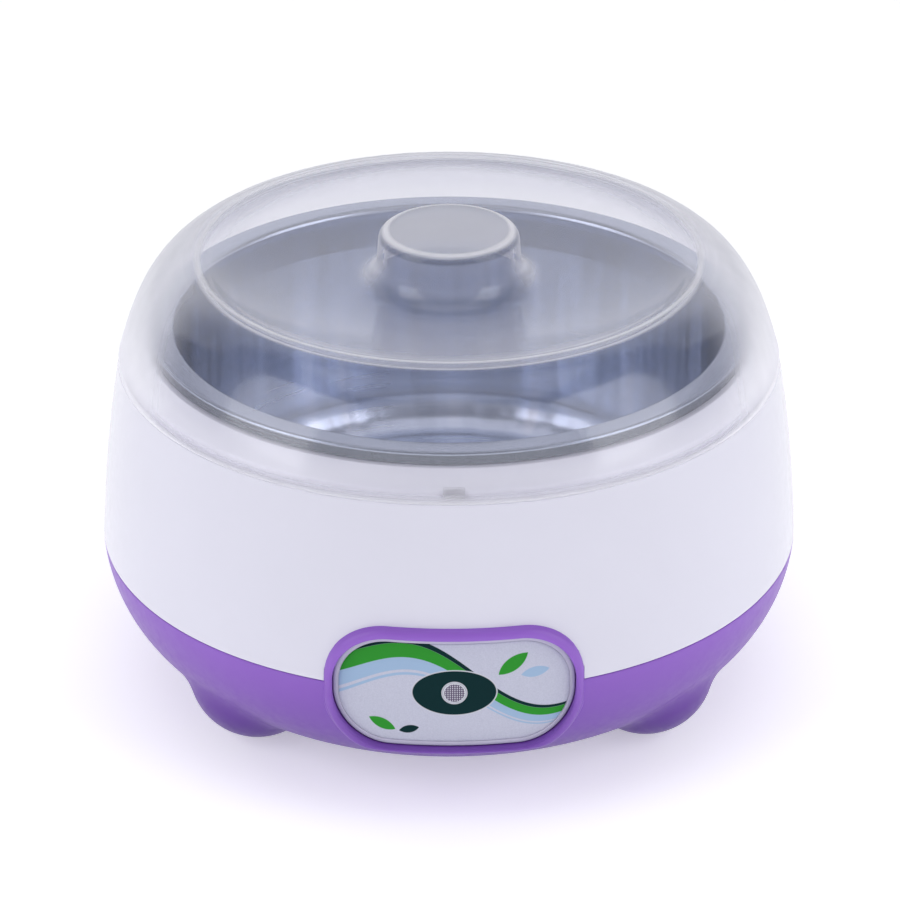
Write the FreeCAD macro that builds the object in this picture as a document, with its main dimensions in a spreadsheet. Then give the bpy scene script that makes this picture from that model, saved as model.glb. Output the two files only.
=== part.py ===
import FreeCAD, Part
import math
import os
import re
import Sketcher

# Yogurt maker: a white casing on a purple base, a steel pot standing in a
# warmed liner, and a clear cover over it.  Millimetres, +Z up, the front is
# towards -Y, and the origin is on the table under the middle of the base.

V = FreeCAD.Vector
os.makedirs("parts", exist_ok=True)
doc = FreeCAD.newDocument("yogurt_maker")

# ------------------------------------------------------------------ dimensions
SIZES = [
    # casing and base
    ("max_rad", 90.0), ("seam_z", 38.0), ("wall_th", 2.2), ("shell_arc", 365.3),
    ("ledge_z", 86.0), ("ledge_out", 84.4), ("ledge_in", 82.2),
    ("collar_foot_z", 88.2), ("collar_foot_rad", 81.4),
    ("collar_step_rad", 77.4), ("collar_step_z", 92.3),
    ("collar_rad", 75.3), ("collar_top", 95.0), ("collar_in", 72.2),
    ("base_arc", 36.8), ("base_low_rad", 66.0), ("base_low_z", 5.8),
    ("base_flat_rad", 62.0), ("base_floor_z", 5.0),
    ("tongue_out", 87.4), ("tongue_th", 1.8), ("tongue_top", 41.0),
    # feet
    ("foot_ball", 17.5), ("foot_x", 49.3), ("foot_y", 42.7), ("foot_ball_z", 17.2),
    ("foot_cut_z", 0.4), ("post_rad", 6.4), ("post_top", 10.0),
    ("pad_rad", 4.4), ("pad_top", 1.6), ("cbore_rad", 3.6), ("cbore_top", 7.0),
    ("screw_clear", 1.8), ("screw_rad", 1.5), ("screw_head", 3.0), ("screw_head_th", 2.2),
    # panel
    ("ring_wide", 63.6), ("ring_tall", 35.8), ("ring_round", 15.7),
    ("plate_wide", 58.8), ("plate_tall", 29.9), ("plate_round", 13.8),
    ("label_wide", 56.0), ("label_tall", 27.1), ("label_round", 12.4),
    ("panel_z", 37.1), ("ring_crest", 91.2), ("ring_back", 84.6),
    ("plate_face", 89.0), ("plate_back", 87.0), ("label_back", 88.7), ("label_face", 88.9),
    ("lens_rad", 2.8),
    # cover
    ("cover_gap", 0.3), ("cover_th", 1.8), ("cover_mid_rad", 76.6), ("cover_mid_z", 105.4),
    ("cover_low_arc", 62.0), ("cover_top_arc", 15.6), ("crest_rad", 63.5), ("crest_z", 113.7),
    ("crest_in_rad", 60.4), ("crest_in_z", 112.7), ("crest_arc", 4.2),
    ("dish_rad", 23.4), ("dish_z", 106.6), ("dish_arc", 210.0),
    ("knob_foot_arc", 5.0), ("knob_foot_z", 109.4), ("knob_foot_rad", 18.2),
    ("knob_rad", 17.7), ("knob_edge_z", 117.4), ("knob_edge_arc", 2.9),
    ("knob_top_rad", 15.0), ("knob_top", 120.0),
    # pot
    ("pot_rad", 70.0), ("pot_th", 0.6), ("pot_floor", 31.0), ("pot_corner", 12.0),
    ("flange_rad", 76.4), ("flange_top", 95.9), ("lip_low", 92.8),
    # liner
    ("well_rad", 71.8), ("well_th", 1.8), ("well_floor", 27.8), ("well_corner", 8.0),
    ("well_top", 92.8), ("plate_hole", 34.0),
    ("boss_rad", 4.0), ("boss_low", 10.2), ("boss_hole_top", 21.0),
    ("ear_place", 80.6), ("ear_rad", 4.0), ("ear_low", 56.0), ("ear_th", 2.0),
    # heater
    ("heat_rad", 38.0), ("heat_core", 33.6), ("heat_top", 30.1), ("heat_rim_z", 28.6), ("heat_low", 26.6),
    ("ptc_rad", 10.0), ("ptc_th", 3.0), ("foil_th", 0.3), ("mica_th", 0.4), ("mica_rad", 12.2),
    ("strap_wide", 10.0), ("strap_th", 1.0), ("strap_leg", 16.0), ("strap_end", 27.0), ("strap_hole", 22.0),
    ("stat_rad", 7.0), ("stat_y", 21.0), ("stat_tall", 10.0), ("stat_hole", 11.5),
    ("fuse_y", -17.0), ("fuse_rad", 2.0), ("fuse_long", 12.0), ("sleeve_rad", 2.6), ("sleeve_long", 16.0),
    # inlet
    ("inlet_z", 18.0), ("inlet_half", 12.0), ("inlet_tall", 13.6), ("inlet_back", 85.0), ("inlet_front", 68.0),
    ("inlet_body", 19.4), ("inlet_body_tall", 10.0), ("inlet_pitch", 8.6), ("inlet_lobe", 3.7),
    ("inlet_deep", 12.0), ("pin_rad", 1.18),
    ("wire_rad", 1.0),
]
sheet = doc.addObject("Spreadsheet::Sheet", "dims")
for row, (alias, value) in enumerate(SIZES, 1):
    sheet.set("A%d" % row, alias)
    sheet.set("B%d" % row, repr(value))
    sheet.setAlias("B%d" % row, alias)
doc.recompute()
NAMES = {alias for alias, _ in SIZES}


def ex(text):
    """An expression on the sheet's cells."""
    return re.sub(r"[a-z_][a-z0-9_]*", lambda w: "dims." + w.group(0) if w.group(0) in NAMES else w.group(0), str(text))


def num(text):
    return float(sheet.evalExpression(ex(text)))


def bind(obj, **sizes):
    for key, text in sizes.items():
        obj.setExpression(key.replace("__", "."), ex(text))
    return obj


def at(obj, x="0", y="0", z="0"):
    for key, text in (("x", x), ("y", y), ("z", z)):
        obj.setExpression("Placement.Base." + key, ex(text))
    return obj


def turned(obj, axis, angle):
    obj.Placement = FreeCAD.Placement(V(0, 0, 0), FreeCAD.Rotation(axis, angle))
    return obj


count = [0]


def fresh(stem):
    count[0] += 1
    return "%s_%d" % (stem, count[0])


def cyl(rad, tall, x="0", y="0", z="0"):
    return at(bind(doc.addObject("Part::Cylinder", fresh("cyl")), Radius=rad, Height=tall), x, y, z)


def cyl_y(rad, tall, x="0", y="0", z="0"):
    """A cylinder that runs from y towards +Y."""
    c = turned(doc.addObject("Part::Cylinder", fresh("cyl")), V(1, 0, 0), -90)
    return at(bind(c, Radius=rad, Height=tall), x, y, z)


def cyl_x(rad, tall, x="0", y="0", z="0"):
    """A cylinder that runs from x towards +X."""
    c = turned(doc.addObject("Part::Cylinder", fresh("cyl")), V(0, 1, 0), 90)
    return at(bind(c, Radius=rad, Height=tall), x, y, z)


def ball(rad, x, y, z):
    return at(bind(doc.addObject("Part::Sphere", fresh("ball")), Radius=rad), x, y, z)


def block(lx, ly, lz, x, y, z):
    return at(bind(doc.addObject("Part::Box", fresh("block")), Length=lx, Width=ly, Height=lz), x, y, z)


def join(*objs, name=None):
    f = doc.addObject("Part::MultiFuse", name or fresh("join"))
    f.Shapes = list(objs)
    doc.recompute()
    return f


def cut(base, *tools, name=None):
    tool = tools[0] if len(tools) == 1 else join(*tools)
    f = doc.addObject("Part::Cut", name or fresh("cut"))
    f.Base, f.Tool = base, tool
    doc.recompute()
    if f.Shape.Volume > base.Shape.Volume - 1e-6:
        raise RuntimeError("a cut took nothing away: " + f.Name)
    return f


def meet(a, b, name=None):
    f = doc.addObject("Part::Common", name or fresh("meet"))
    f.Base, f.Tool = a, b
    doc.recompute()
    return f


def group(*objs):
    f = doc.addObject("Part::Compound", fresh("group"))
    f.Links = list(objs)
    doc.recompute()
    return f


def outline(body, name, role, nodes):
    """A closed, fully dimensioned sketch.  Each node is (x, y, segment), where
    the segment to the next node is None for a line or (radius, side) for an
    arc whose centre is on the left (+1) or right (-1) of the way it runs."""
    sk = body.newObject("Sketcher::SketchObject", name)
    plane = [f for f in body.Origin.OriginFeatures if f.Role == role][0]
    sk.AttachmentSupport = (plane, [""])
    sk.MapMode = "FlatFace"
    pts = [(num(x), num(y)) for x, y, _ in nodes]
    ends = []
    for i, (_, _, seg) in enumerate(nodes):
        p, q = V(*pts[i], 0), V(*pts[(i + 1) % len(nodes)], 0)
        if seg is None:
            sk.addGeometry(Part.LineSegment(p, q))
            ends.append((1, 2))
            continue
        rad, side = num(seg[0]), seg[1]
        way = q - p
        half = way.Length / 2
        left = V(-way.y, way.x, 0).normalize()
        mid = (p + q) * 0.5 + left * (side * math.sqrt(rad * rad - half * half))
        a, b = (p, q) if side > 0 else (q, p)
        t0 = math.atan2(a.y - mid.y, a.x - mid.x)
        t1 = math.atan2(b.y - mid.y, b.x - mid.x)
        if t1 < t0:
            t1 += 2 * math.pi
        sk.addGeometry(Part.ArcOfCircle(Part.Circle(mid, V(0, 0, 1), rad), t0, t1))
        ends.append((1, 2) if side > 0 else (2, 1))
    n = len(nodes)
    for i in range(n):
        sk.addConstraint(Sketcher.Constraint("Coincident", i, ends[i][1], (i + 1) % n, ends[(i + 1) % n][0]))
    for i, (x, y, seg) in enumerate(nodes):
        for kind, text, val, axis in (("DistanceX", x, pts[i][0], -2), ("DistanceY", y, pts[i][1], -1)):
            if abs(val) < 1e-9:
                sk.addConstraint(Sketcher.Constraint("PointOnObject", i, ends[i][0], axis))
            else:
                c = sk.addConstraint(Sketcher.Constraint(kind, -1, 1, i, ends[i][0], val))
                sk.setExpression("Constraints[%d]" % c, ex(text))
        if seg is not None:
            c = sk.addConstraint(Sketcher.Constraint("Radius", i, num(seg[0])))
            sk.setExpression("Constraints[%d]" % c, ex(seg[0]))
    doc.recompute()
    if sk.solve() != 0 or len(sk.Shape.Wires) != 1:
        raise RuntimeError("sketch doesn't close: " + name)
    return sk


def lathe(name, nodes):
    """A turned body: the profile's x is the radius and its y is the height."""
    body = doc.addObject("PartDesign::Body", name)
    sk = outline(body, name + "_profile", "XZ_Plane", nodes)
    rev = body.newObject("PartDesign::Revolution", name + "_turn")
    rev.Profile = sk
    rev.ReferenceAxis = (sk, ["V_Axis"])
    rev.Angle = 360
    doc.recompute()
    return body


def plaque(name, wide, tall, rnd, zc, low="0"):
    """A prism with the panel's rounded outline that runs from the axis to the front."""
    body = doc.addObject("PartDesign::Body", name)
    hw, top, bot = "(%s) / 2" % wide, "(%s) + (%s) / 2" % (zc, tall), "(%s) - (%s) / 2 - (%s)" % (zc, tall, low)
    r = rnd
    side = "(%s) - (%s)" % (hw, r)
    sk = outline(body, name + "_face", "XZ_Plane", [
        ("-(%s)" % side, bot, None),
        (side, bot, (r, 1)),
        (hw, "%s + (%s)" % (bot, r), None),
        (hw, "%s - (%s)" % (top, r), (r, 1)),
        (side, top, None),
        ("-(%s)" % side, top, (r, 1)),
        ("-(%s)" % hw, "%s - (%s)" % (top, r), None),
        ("-(%s)" % hw, "%s + (%s)" % (bot, r), (r, 1)),
    ])
    pad = body.newObject("PartDesign::Pad", name + "_pad")
    pad.Profile = sk
    pad.Length = 100
    doc.recompute()
    if pad.Shape.BoundBox.YMin > -99:
        raise RuntimeError("the panel outline runs the wrong way")
    return body


def tube(rad_in, rad_out, low, high):
    tall = "(%s) - (%s)" % (high, low)
    return cut(cyl(rad_out, tall, z=low), cyl(rad_in, tall, z=low))


QUARTERS = [(1, 1), (-1, 1), (-1, -1), (1, -1)]


def corners(place, maker):
    """Four copies, one in each quarter."""
    return [maker("%d * %s_x" % (sx, place), "%d * %s_y" % (sy, place)) for sx, sy in QUARTERS]


def crosses(place, maker):
    """Four copies on the axes at a radius."""
    return [maker("%d * (%s)" % (sx, place), "%d * (%s)" % (sy, place)) for sx, sy in ((1, 0), (0, 1), (-1, 0), (0, -1))]


parts = {}


def node(label, obj):
    obj.Label = label
    parts[label] = obj
    return obj


# ------------------------------------------------------------------ the base
# The outer bowl is one arc from the widest line to the flat underside.  The
# ball feet, the panel frame and the inlet's block are moulded on it.
bowl = lathe("bowl_outer", [
    ("0", "base_floor_z", None),
    ("base_flat_rad", "base_floor_z", None),
    ("base_low_rad", "base_low_z", ("base_arc", 1)),
    ("max_rad", "seam_z", None),
    ("0", "seam_z", None),
])
hollow = lathe("bowl_inner", [
    ("0", "base_floor_z + wall_th", None),
    ("base_flat_rad", "base_floor_z + wall_th", None),
    ("base_low_rad - 0.9", "base_low_z + wall_th", ("base_arc - wall_th", 1)),
    ("max_rad - wall_th", "seam_z", None),
    ("max_rad - wall_th", "seam_z + 30", None),
    ("0", "seam_z + 30", None),
])
balls = corners("foot", lambda x, y: ball("foot_ball", x, y, "foot_ball_z"))
inner_balls = corners("foot", lambda x, y: ball("foot_ball - wall_th", x, y, "foot_ball_z"))
floor_cut = block("300", "300", "20", "-150", "-150", "foot_cut_z - 20")

# The frame round the panel follows a cylinder about the axis, and its foot
# falls back to the bowl below the panel.
ring_form = plaque("ring_form", "ring_wide", "ring_tall", "ring_round", "panel_z")
ring_stock = lathe("ring_stock", [
    ("ring_back - 12", "9", None),
    ("76", "11.4", None),
    ("plate_face", "panel_z - ring_tall / 2 + 1.2", None),
    ("ring_crest", "panel_z - ring_tall / 2 + 5.5", None),
    ("ring_crest", "panel_z + ring_tall / 2 + 1", None),
    ("ring_back", "panel_z + ring_tall / 2 + 1", None),
    ("ring_back", "seam_z - 6", None),
    ("ring_back - 12", "16", None),
])
frame_block = meet(ring_stock, ring_form)
inlet_block = block("2 * inlet_half", "inlet_back - inlet_front", "inlet_tall",
                    "-inlet_half", "inlet_front", "inlet_z - inlet_tall / 2")
tongue = tube("tongue_out - tongue_th", "tongue_out", "seam_z - 5", "tongue_top")
# A slope under the tongue ties it to the wall.
tongue_tie = tube("tongue_out - tongue_th", "max_rad - wall_th / 2", "seam_z - 5", "seam_z")

body_1 = join(bowl, *balls)
body_2 = cut(body_1, hollow, *inner_balls)
posts = corners("foot", lambda x, y: cyl("post_rad", "post_top - foot_cut_z", x, y, "foot_cut_z"))
tie_ok = meet(tongue_tie, bowl)
body_3 = join(body_2, frame_block, inlet_block, tongue, tie_ok, *posts)
plate_room = meet(plaque("plate_room_form", "plate_wide + 0.3", "plate_tall + 0.3", "plate_round + 0.15", "panel_z"),
                  tube("plate_back", "96", "10", "60"))
lamp_window = block("19", "40", "14", "-9.5", "-100", "panel_z - 7")
inlet_hole = block("inlet_body + 0.4", "30", "inlet_body_tall + 0.4",
                   "-inlet_body / 2 - 0.2", "60", "inlet_z - inlet_body_tall / 2 - 0.2")
pad_wells = corners("foot", lambda x, y: cyl("pad_rad + 0.1", "pad_top + 1", x, y, "-1"))
head_wells = corners("foot", lambda x, y: cyl("cbore_rad", "cbore_top + 1", x, y, "-1"))
screw_ways = corners("foot", lambda x, y: cyl("screw_clear", "20", x, y, "0"))
vents = []
for k in range(8):
    b = doc.addObject("Part::Box", fresh("vent"))
    a = math.radians(22.5 + 45 * k)
    b.Length, b.Width, b.Height = 14, 2.6, 8
    b.Placement = FreeCAD.Placement(V(36 * math.cos(a) + 1.3 * math.sin(a), 36 * math.sin(a) - 1.3 * math.cos(a), 2),
                                    FreeCAD.Rotation(V(0, 0, 1), math.degrees(a)))
    vents.append(b)
base = cut(body_3, floor_cut, plate_room, lamp_window, inlet_hole, *pad_wells, *head_wells, *screw_ways, *vents)
node("base_shell", base)

node("foot_pads", group(*corners("foot", lambda x, y: cyl("pad_rad", "pad_top", x, y, "0"))))


def screw(x, y, seat, reach, head="screw_head", head_th="screw_head_th", rad="screw_rad", drive="1.1"):
    """A pan-head screw that points up: its head is under the seat."""
    h = cyl(head, head_th, x, y, "(%s) - (%s)" % (seat, head_th))
    s = cyl(rad, reach, x, y, seat)
    a = block("2 * (%s)" % drive, "0.7", "(%s) / 2" % head_th, "(%s) - (%s)" % (x, drive), "(%s) - 0.35" % y, "(%s) - (%s)" % (seat, head_th))
    b = block("0.7", "2 * (%s)" % drive, "(%s) / 2" % head_th, "(%s) - 0.35" % x, "(%s) - (%s)" % (y, drive), "(%s) - (%s)" % (seat, head_th))
    return cut(join(h, s), a, b)


node("base_screws", group(*corners("foot", lambda x, y: screw(x, y, "cbore_top", "13.5"))))

# ------------------------------------------------------------------ the casing
shell_turn = lathe("shell_turn", [
    ("max_rad - wall_th", "seam_z", None),
    ("max_rad", "seam_z", ("shell_arc", 1)),
    ("ledge_out", "ledge_z", None),
    ("ledge_in", "ledge_z", None),
    ("collar_foot_rad", "collar_foot_z", None),
    ("collar_step_rad", "collar_step_z", None),
    ("collar_rad", "collar_step_z", None),
    ("collar_rad", "collar_top", None),
    ("collar_in", "collar_top", None),
    ("collar_in", "collar_top - 2", None),
    ("well_rad + well_th + 0.2", "collar_top - 2", None),
    ("well_rad + well_th + 0.2", "collar_step_z - 1.8", None),
    ("collar_step_rad - 0.9", "collar_step_z - 1.8", None),
    ("collar_foot_rad - 1.8", "collar_foot_z - 1.4", None),
    ("ledge_out - wall_th", "ledge_z - 2.4", ("shell_arc - wall_th", -1)),
])
shell_open = plaque("shell_open_form", "ring_wide + 0.3", "ring_tall + 0.3", "ring_round + 0.15", "panel_z")
ear_posts = crosses("ear_place", lambda x, y: cyl("ear_rad", "84 - ear_low - ear_th", x, y, "ear_low + ear_th"))
ear_pilots = crosses("ear_place", lambda x, y: cyl("screw_rad", "13", x, y, "ear_low + ear_th - 1"))
shell_solid = lathe("shell_solid", [
    ("70", "seam_z", None),
    ("max_rad - wall_th / 2", "seam_z", ("shell_arc", 1)),
    ("ledge_out - wall_th / 2", "ledge_z - 1.2", None),
    ("70", "ledge_z - 1.2", None),
])
posts_in = meet(join(*ear_posts), shell_solid)
# A shallow notch in the collar takes the cover's rib and keeps the cover from turning.
rib_notch = block("6", "3.2", "6", "-3", "-84.1", "ledge_z")
shell = cut(join(shell_turn, posts_in), shell_open, rib_notch, *ear_pilots)
node("upper_shell", shell)

# ------------------------------------------------------------------ the liner
well_cup = lathe("well_cup", [
    ("plate_hole", "well_floor - well_th", None),
    ("well_rad + well_th - well_corner", "well_floor - well_th", ("well_corner", 1)),
    ("well_rad + well_th", "well_floor - well_th + well_corner", None),
    ("well_rad + well_th", "well_top", None),
    ("well_rad", "well_top", None),
    ("well_rad", "well_floor + well_corner - well_th", ("well_corner - well_th", -1)),
    ("well_rad - well_corner + well_th", "well_floor", None),
    ("plate_hole", "well_floor", None),
])
bosses = corners("foot", lambda x, y: cyl("boss_rad", "well_floor - boss_low + 1.5", x, y, "boss_low"))
cup_fill = lathe("cup_fill", [
    ("0", "well_floor", None),
    ("well_rad - well_corner + well_th", "well_floor", ("well_corner - well_th", 1)),
    ("well_rad", "well_floor + well_corner - well_th", None),
    ("well_rad", "well_top", None),
    ("0", "well_top", None),
])
boss_trim = cut(join(*bosses), cup_fill)
ears = crosses("ear_place", lambda x, y: cyl("ear_rad", "ear_th", x, y, "ear_low"))
ear_arms = [
    block("ear_place - 72.8", "2 * ear_rad", "ear_th", "72.8", "-ear_rad", "ear_low"),
    block("ear_place - 72.8", "2 * ear_rad", "ear_th", "-ear_place", "-ear_rad", "ear_low"),
    block("2 * ear_rad", "ear_place - 72.8", "ear_th", "-ear_rad", "72.8", "ear_low"),
    block("2 * ear_rad", "ear_place - 72.8", "ear_th", "-ear_rad", "-ear_place", "ear_low"),
]
boss_holes = corners("foot", lambda x, y: cyl("screw_rad", "boss_hole_top - boss_low + 1", x, y, "boss_low - 1"))
ear_holes = crosses("ear_place", lambda x, y: cyl("screw_clear", "ear_th + 2", x, y, "ear_low - 1"))
node("heating_well", cut(join(well_cup, boss_trim, *ears, *ear_arms), *boss_holes, *ear_holes))
node("well_screws", group(*crosses("ear_place", lambda x, y: screw(x, y, "ear_low", "12"))))

# ------------------------------------------------------------------ the pot
pot = lathe("inner_pot_body", [
    ("0", "pot_floor - pot_th", None),
    ("pot_rad - pot_corner", "pot_floor - pot_th", ("pot_corner + pot_th", 1)),
    ("pot_rad + pot_th", "pot_floor + pot_corner", None),
    ("pot_rad + pot_th", "flange_top - pot_th", None),
    ("flange_rad - pot_th", "flange_top - pot_th", None),
    ("flange_rad - pot_th", "lip_low", None),
    ("flange_rad", "lip_low", None),
    ("flange_rad", "flange_top - 0.5", ("0.5", 1)),
    ("flange_rad - 0.5", "flange_top", None),
    ("pot_rad + 0.8", "flange_top", ("0.8", 1)),
    ("pot_rad", "flange_top - 0.8", None),
    ("pot_rad", "pot_floor + pot_corner", ("pot_corner", -1)),
    ("pot_rad - pot_corner", "pot_floor", None),
    ("0", "pot_floor", None),
])
node("inner_pot", pot)

# ------------------------------------------------------------------ the cover
th = "cover_th"
cover_turn = lathe("cover_turn", [
    ("ledge_out - cover_th", "ledge_z + cover_gap", None),
    ("ledge_out", "ledge_z + cover_gap", ("cover_low_arc", 1)),
    ("cover_mid_rad", "cover_mid_z", ("cover_top_arc", 1)),
    ("crest_rad", "crest_z", ("crest_arc", 1)),
    ("crest_in_rad", "crest_in_z", ("dish_arc", -1)),
    ("dish_rad", "dish_z", ("knob_foot_arc + 1", -1)),
    ("knob_foot_rad", "knob_foot_z", None),
    ("knob_rad", "knob_edge_z", ("knob_edge_arc", 1)),
    ("knob_top_rad", "knob_top", None),
    ("0", "knob_top", None),
    ("0", "knob_top - cover_th", None),
    ("knob_top_rad - 0.2", "knob_top - cover_th", ("knob_edge_arc - cover_th + 0.4", -1)),
    ("knob_rad - cover_th", "knob_edge_z - 0.3", None),
    ("knob_foot_rad - cover_th", "knob_foot_z - 0.9", ("knob_foot_arc + 2", 1)),
    ("dish_rad - 0.6", "dish_z - cover_th", ("dish_arc + cover_th", 1)),
    ("crest_in_rad + 0.5", "crest_in_z - cover_th", ("crest_arc - 0.8", -1)),
    ("crest_rad - 0.3", "crest_z - cover_th", ("cover_top_arc - cover_th", -1)),
    ("cover_mid_rad - cover_th * 0.9", "cover_mid_z - cover_th * 0.5", ("cover_low_arc - cover_th", -1)),
])
rib = block("5.2", "1.5", "3.2", "-2.6", "-82.85", "ledge_z + cover_gap")
node("outer_cover", join(cover_turn, rib))

# ------------------------------------------------------------------ the panel
plate_skin = meet(plaque("plate_form", "plate_wide", "plate_tall", "plate_round", "panel_z"),
                  tube("plate_back", "plate_face", "10", "60"))
label_seat = meet(plaque("label_seat_form", "label_wide + 0.2", "label_tall + 0.2", "label_round + 0.1", "panel_z"),
                  tube("label_back", "96", "10", "60"))
pegs = [cyl_y("1.1", "7.4", x, "-87.2", "panel_z") for x in ("-7.2", "7.2")]
node("panel_plate", cut(join(plate_skin, *pegs), label_seat, cyl_y("lens_rad + 0.05", "20", y="-95", z="panel_z")))
label_skin = meet(plaque("label_form", "label_wide", "label_tall", "label_round", "panel_z"),
                  tube("label_back", "label_face", "10", "60"))
node("panel_label", cut(label_skin, cyl_y("lens_rad + 0.05", "20", y="-95", z="panel_z")))
node("indicator_lens", join(cyl_y("lens_rad", "2.2", y="-label_face - 0.05", z="panel_z"),
                            cyl_y("4", "1", y="-plate_back + 0.2", z="panel_z")))
board = block("18", "1.6", "12", "-9", "-81.4", "panel_z - 6")
node("indicator_board", cut(board, *[cyl_y("1.15", "4", x, "-82.4", "panel_z") for x in ("-7.2", "7.2")]))
node("indicator_led", join(cyl_y("1.5", "2.6", y="-84", z="panel_z"), ball("1.5", "0", "-84", "panel_z"),
                           cyl_y("1.9", "0.9", y="-82.3", z="panel_z")))
node("led_resistor", cyl_x("1.1", "6", "-3", "-78.7", "panel_z + 3.6"))

# ------------------------------------------------------------------ the heater
plate_turn = lathe("plate_turn", [
    ("0", "heat_low", None),
    ("heat_core", "heat_low", None),
    ("heat_core", "heat_rim_z", None),
    ("heat_rad", "heat_rim_z", None),
    ("heat_rad", "heat_top", None),
    ("0", "heat_top", None),
])
taps = [cyl("screw_rad", "2.6", x, y, "heat_low - 0.1") for x, y in
        (("-strap_hole", "0"), ("strap_hole", "0"), ("-stat_hole", "stat_y"), ("stat_hole", "stat_y"))]
node("heat_plate", cut(plate_turn, *taps))
node("heat_plate_seal", tube("heat_core + 0.3", "heat_rad - 0.3", "well_floor", "heat_rim_z"))
z_mica = "heat_low - mica_th"
z_foil = "heat_low - mica_th - foil_th"
z_ptc = "heat_low - mica_th - foil_th - ptc_th"
z_foil2 = "heat_low - mica_th - 2 * foil_th - ptc_th"
z_mica2 = "heat_low - 2 * mica_th - 2 * foil_th - ptc_th"
z_strap = "heat_low - 2 * mica_th - 2 * foil_th - ptc_th - strap_th"
node("mica_sheets", group(cyl("mica_rad", "mica_th", z=z_mica), cyl("mica_rad", "mica_th", z=z_mica2)))
node("electrodes", group(
    join(cyl("ptc_rad", "foil_th", z=z_foil), block("13", "4", "foil_th", "-13", "3", z_foil)),
    join(cyl("ptc_rad", "foil_th", z=z_foil2), block("13", "4", "foil_th", "0", "3", z_foil2))))
node("ptc_heater", cyl("ptc_rad", "ptc_th", z=z_ptc))
strap = join(
    block("2 * strap_leg", "strap_wide", "strap_th", "-strap_leg", "-strap_wide / 2 - 4", z_strap),
    block("strap_th", "strap_wide", "heat_low - (%s)" % z_strap, "-strap_leg", "-strap_wide / 2 - 4", z_strap),
    block("strap_th", "strap_wide", "heat_low - (%s)" % z_strap, "strap_leg - strap_th", "-strap_wide / 2 - 4", z_strap),
    block("strap_end - strap_leg", "strap_wide", "strap_th", "-strap_end", "-strap_wide / 2 - 4", "heat_low - strap_th"),
    block("strap_end - strap_leg", "strap_wide", "strap_th", "strap_leg", "-strap_wide / 2 - 4", "heat_low - strap_th"))
node("heater_clamp", cut(strap, *[cyl("screw_clear", "6", x, "0", "heat_low - 3") for x in ("-strap_hole", "strap_hole")]))
node("clamp_screws", group(*[screw(x, "0", "heat_low - strap_th", "3.4", head="2.8", head_th="1.8", drive="1")
                             for x in ("-strap_hole", "strap_hole")]))
stat_low = "heat_low - stat_tall"
node("thermostat", join(
    cyl("stat_rad", "stat_tall - 1", y="stat_y", z="(%s) + 1" % stat_low),
    cyl("stat_rad - 1", "stat_tall", y="stat_y", z=stat_low),
    block("0.8", "4", "6", "-4.4", "stat_y - 2", "(%s) - 5.5" % stat_low),
    block("0.8", "4", "6", "3.6", "stat_y - 2", "(%s) - 5.5" % stat_low)))
ear_plate = join(block("2 * stat_hole", "6", "0.8", "-stat_hole", "stat_y - 3", "heat_low - 0.8"),
                 cyl("3", "0.8", "-stat_hole", "stat_y", "heat_low - 0.8"),
                 cyl("3", "0.8", "stat_hole", "stat_y", "heat_low - 0.8"),
                 cyl("stat_rad + 1.4", "0.8", "0", "stat_y", "heat_low - 0.8"))
node("thermostat_bracket", cut(ear_plate, cyl("stat_rad", "20", y="stat_y", z="10"),
                               *[cyl("screw_clear", "6", x, "stat_y", "heat_low - 3") for x in ("-stat_hole", "stat_hole")]))
node("bracket_screws", group(*[screw(x, "stat_y", "heat_low - 0.8", "3.2", head="2.8", head_th="1.8", drive="1")
                               for x in ("-stat_hole", "stat_hole")]))
fz = "heat_low - sleeve_rad"
node("thermal_fuse", join(cyl_x("fuse_rad", "fuse_long", "-fuse_long / 2", "fuse_y", fz),
                          cyl_x("0.5", "fuse_long + 14", "-fuse_long / 2 - 7", "fuse_y", fz)))
node("fuse_sleeve", cut(cyl_x("sleeve_rad", "sleeve_long", "-sleeve_long / 2", "fuse_y", fz),
                        cyl_x("fuse_rad", "sleeve_long + 2", "-sleeve_long / 2 - 1", "fuse_y", fz)))

# ------------------------------------------------------------------ the inlet
sock = join(block("inlet_body", "inlet_back - 70", "inlet_body_tall", "-inlet_body / 2", "70", "inlet_z - inlet_body_tall / 2"),
            block("inlet_body + 4", "2", "inlet_body_tall + 3", "-inlet_body / 2 - 2", "inlet_front - 2", "inlet_z - inlet_body_tall / 2 - 1.5"),
            block("inlet_body", "4", "inlet_body_tall", "-inlet_body / 2", "inlet_front - 2", "inlet_z - inlet_body_tall / 2"))
mouth = join(cyl_y("inlet_lobe", "inlet_deep + 1", "-inlet_pitch / 2", "inlet_back - inlet_deep", "inlet_z"),
             cyl_y("inlet_lobe", "inlet_deep + 1", "inlet_pitch / 2", "inlet_back - inlet_deep", "inlet_z"),
             block("inlet_pitch", "inlet_deep + 1", "2 * inlet_lobe - 1.2", "-inlet_pitch / 2", "inlet_back - inlet_deep", "inlet_z - inlet_lobe + 0.6"))
pin_ways = [cyl_y("pin_rad", "40", x, "60", "inlet_z") for x in ("-inlet_pitch / 2", "inlet_pitch / 2")]
node("inlet_socket", cut(sock, mouth, *pin_ways))
node("inlet_pins", group(*[join(cyl_y("pin_rad", "20.5", x, "62.5", "inlet_z"), ball("pin_rad", x, "83", "inlet_z"))
                           for x in ("-inlet_pitch / 2", "inlet_pitch / 2")]))


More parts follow.
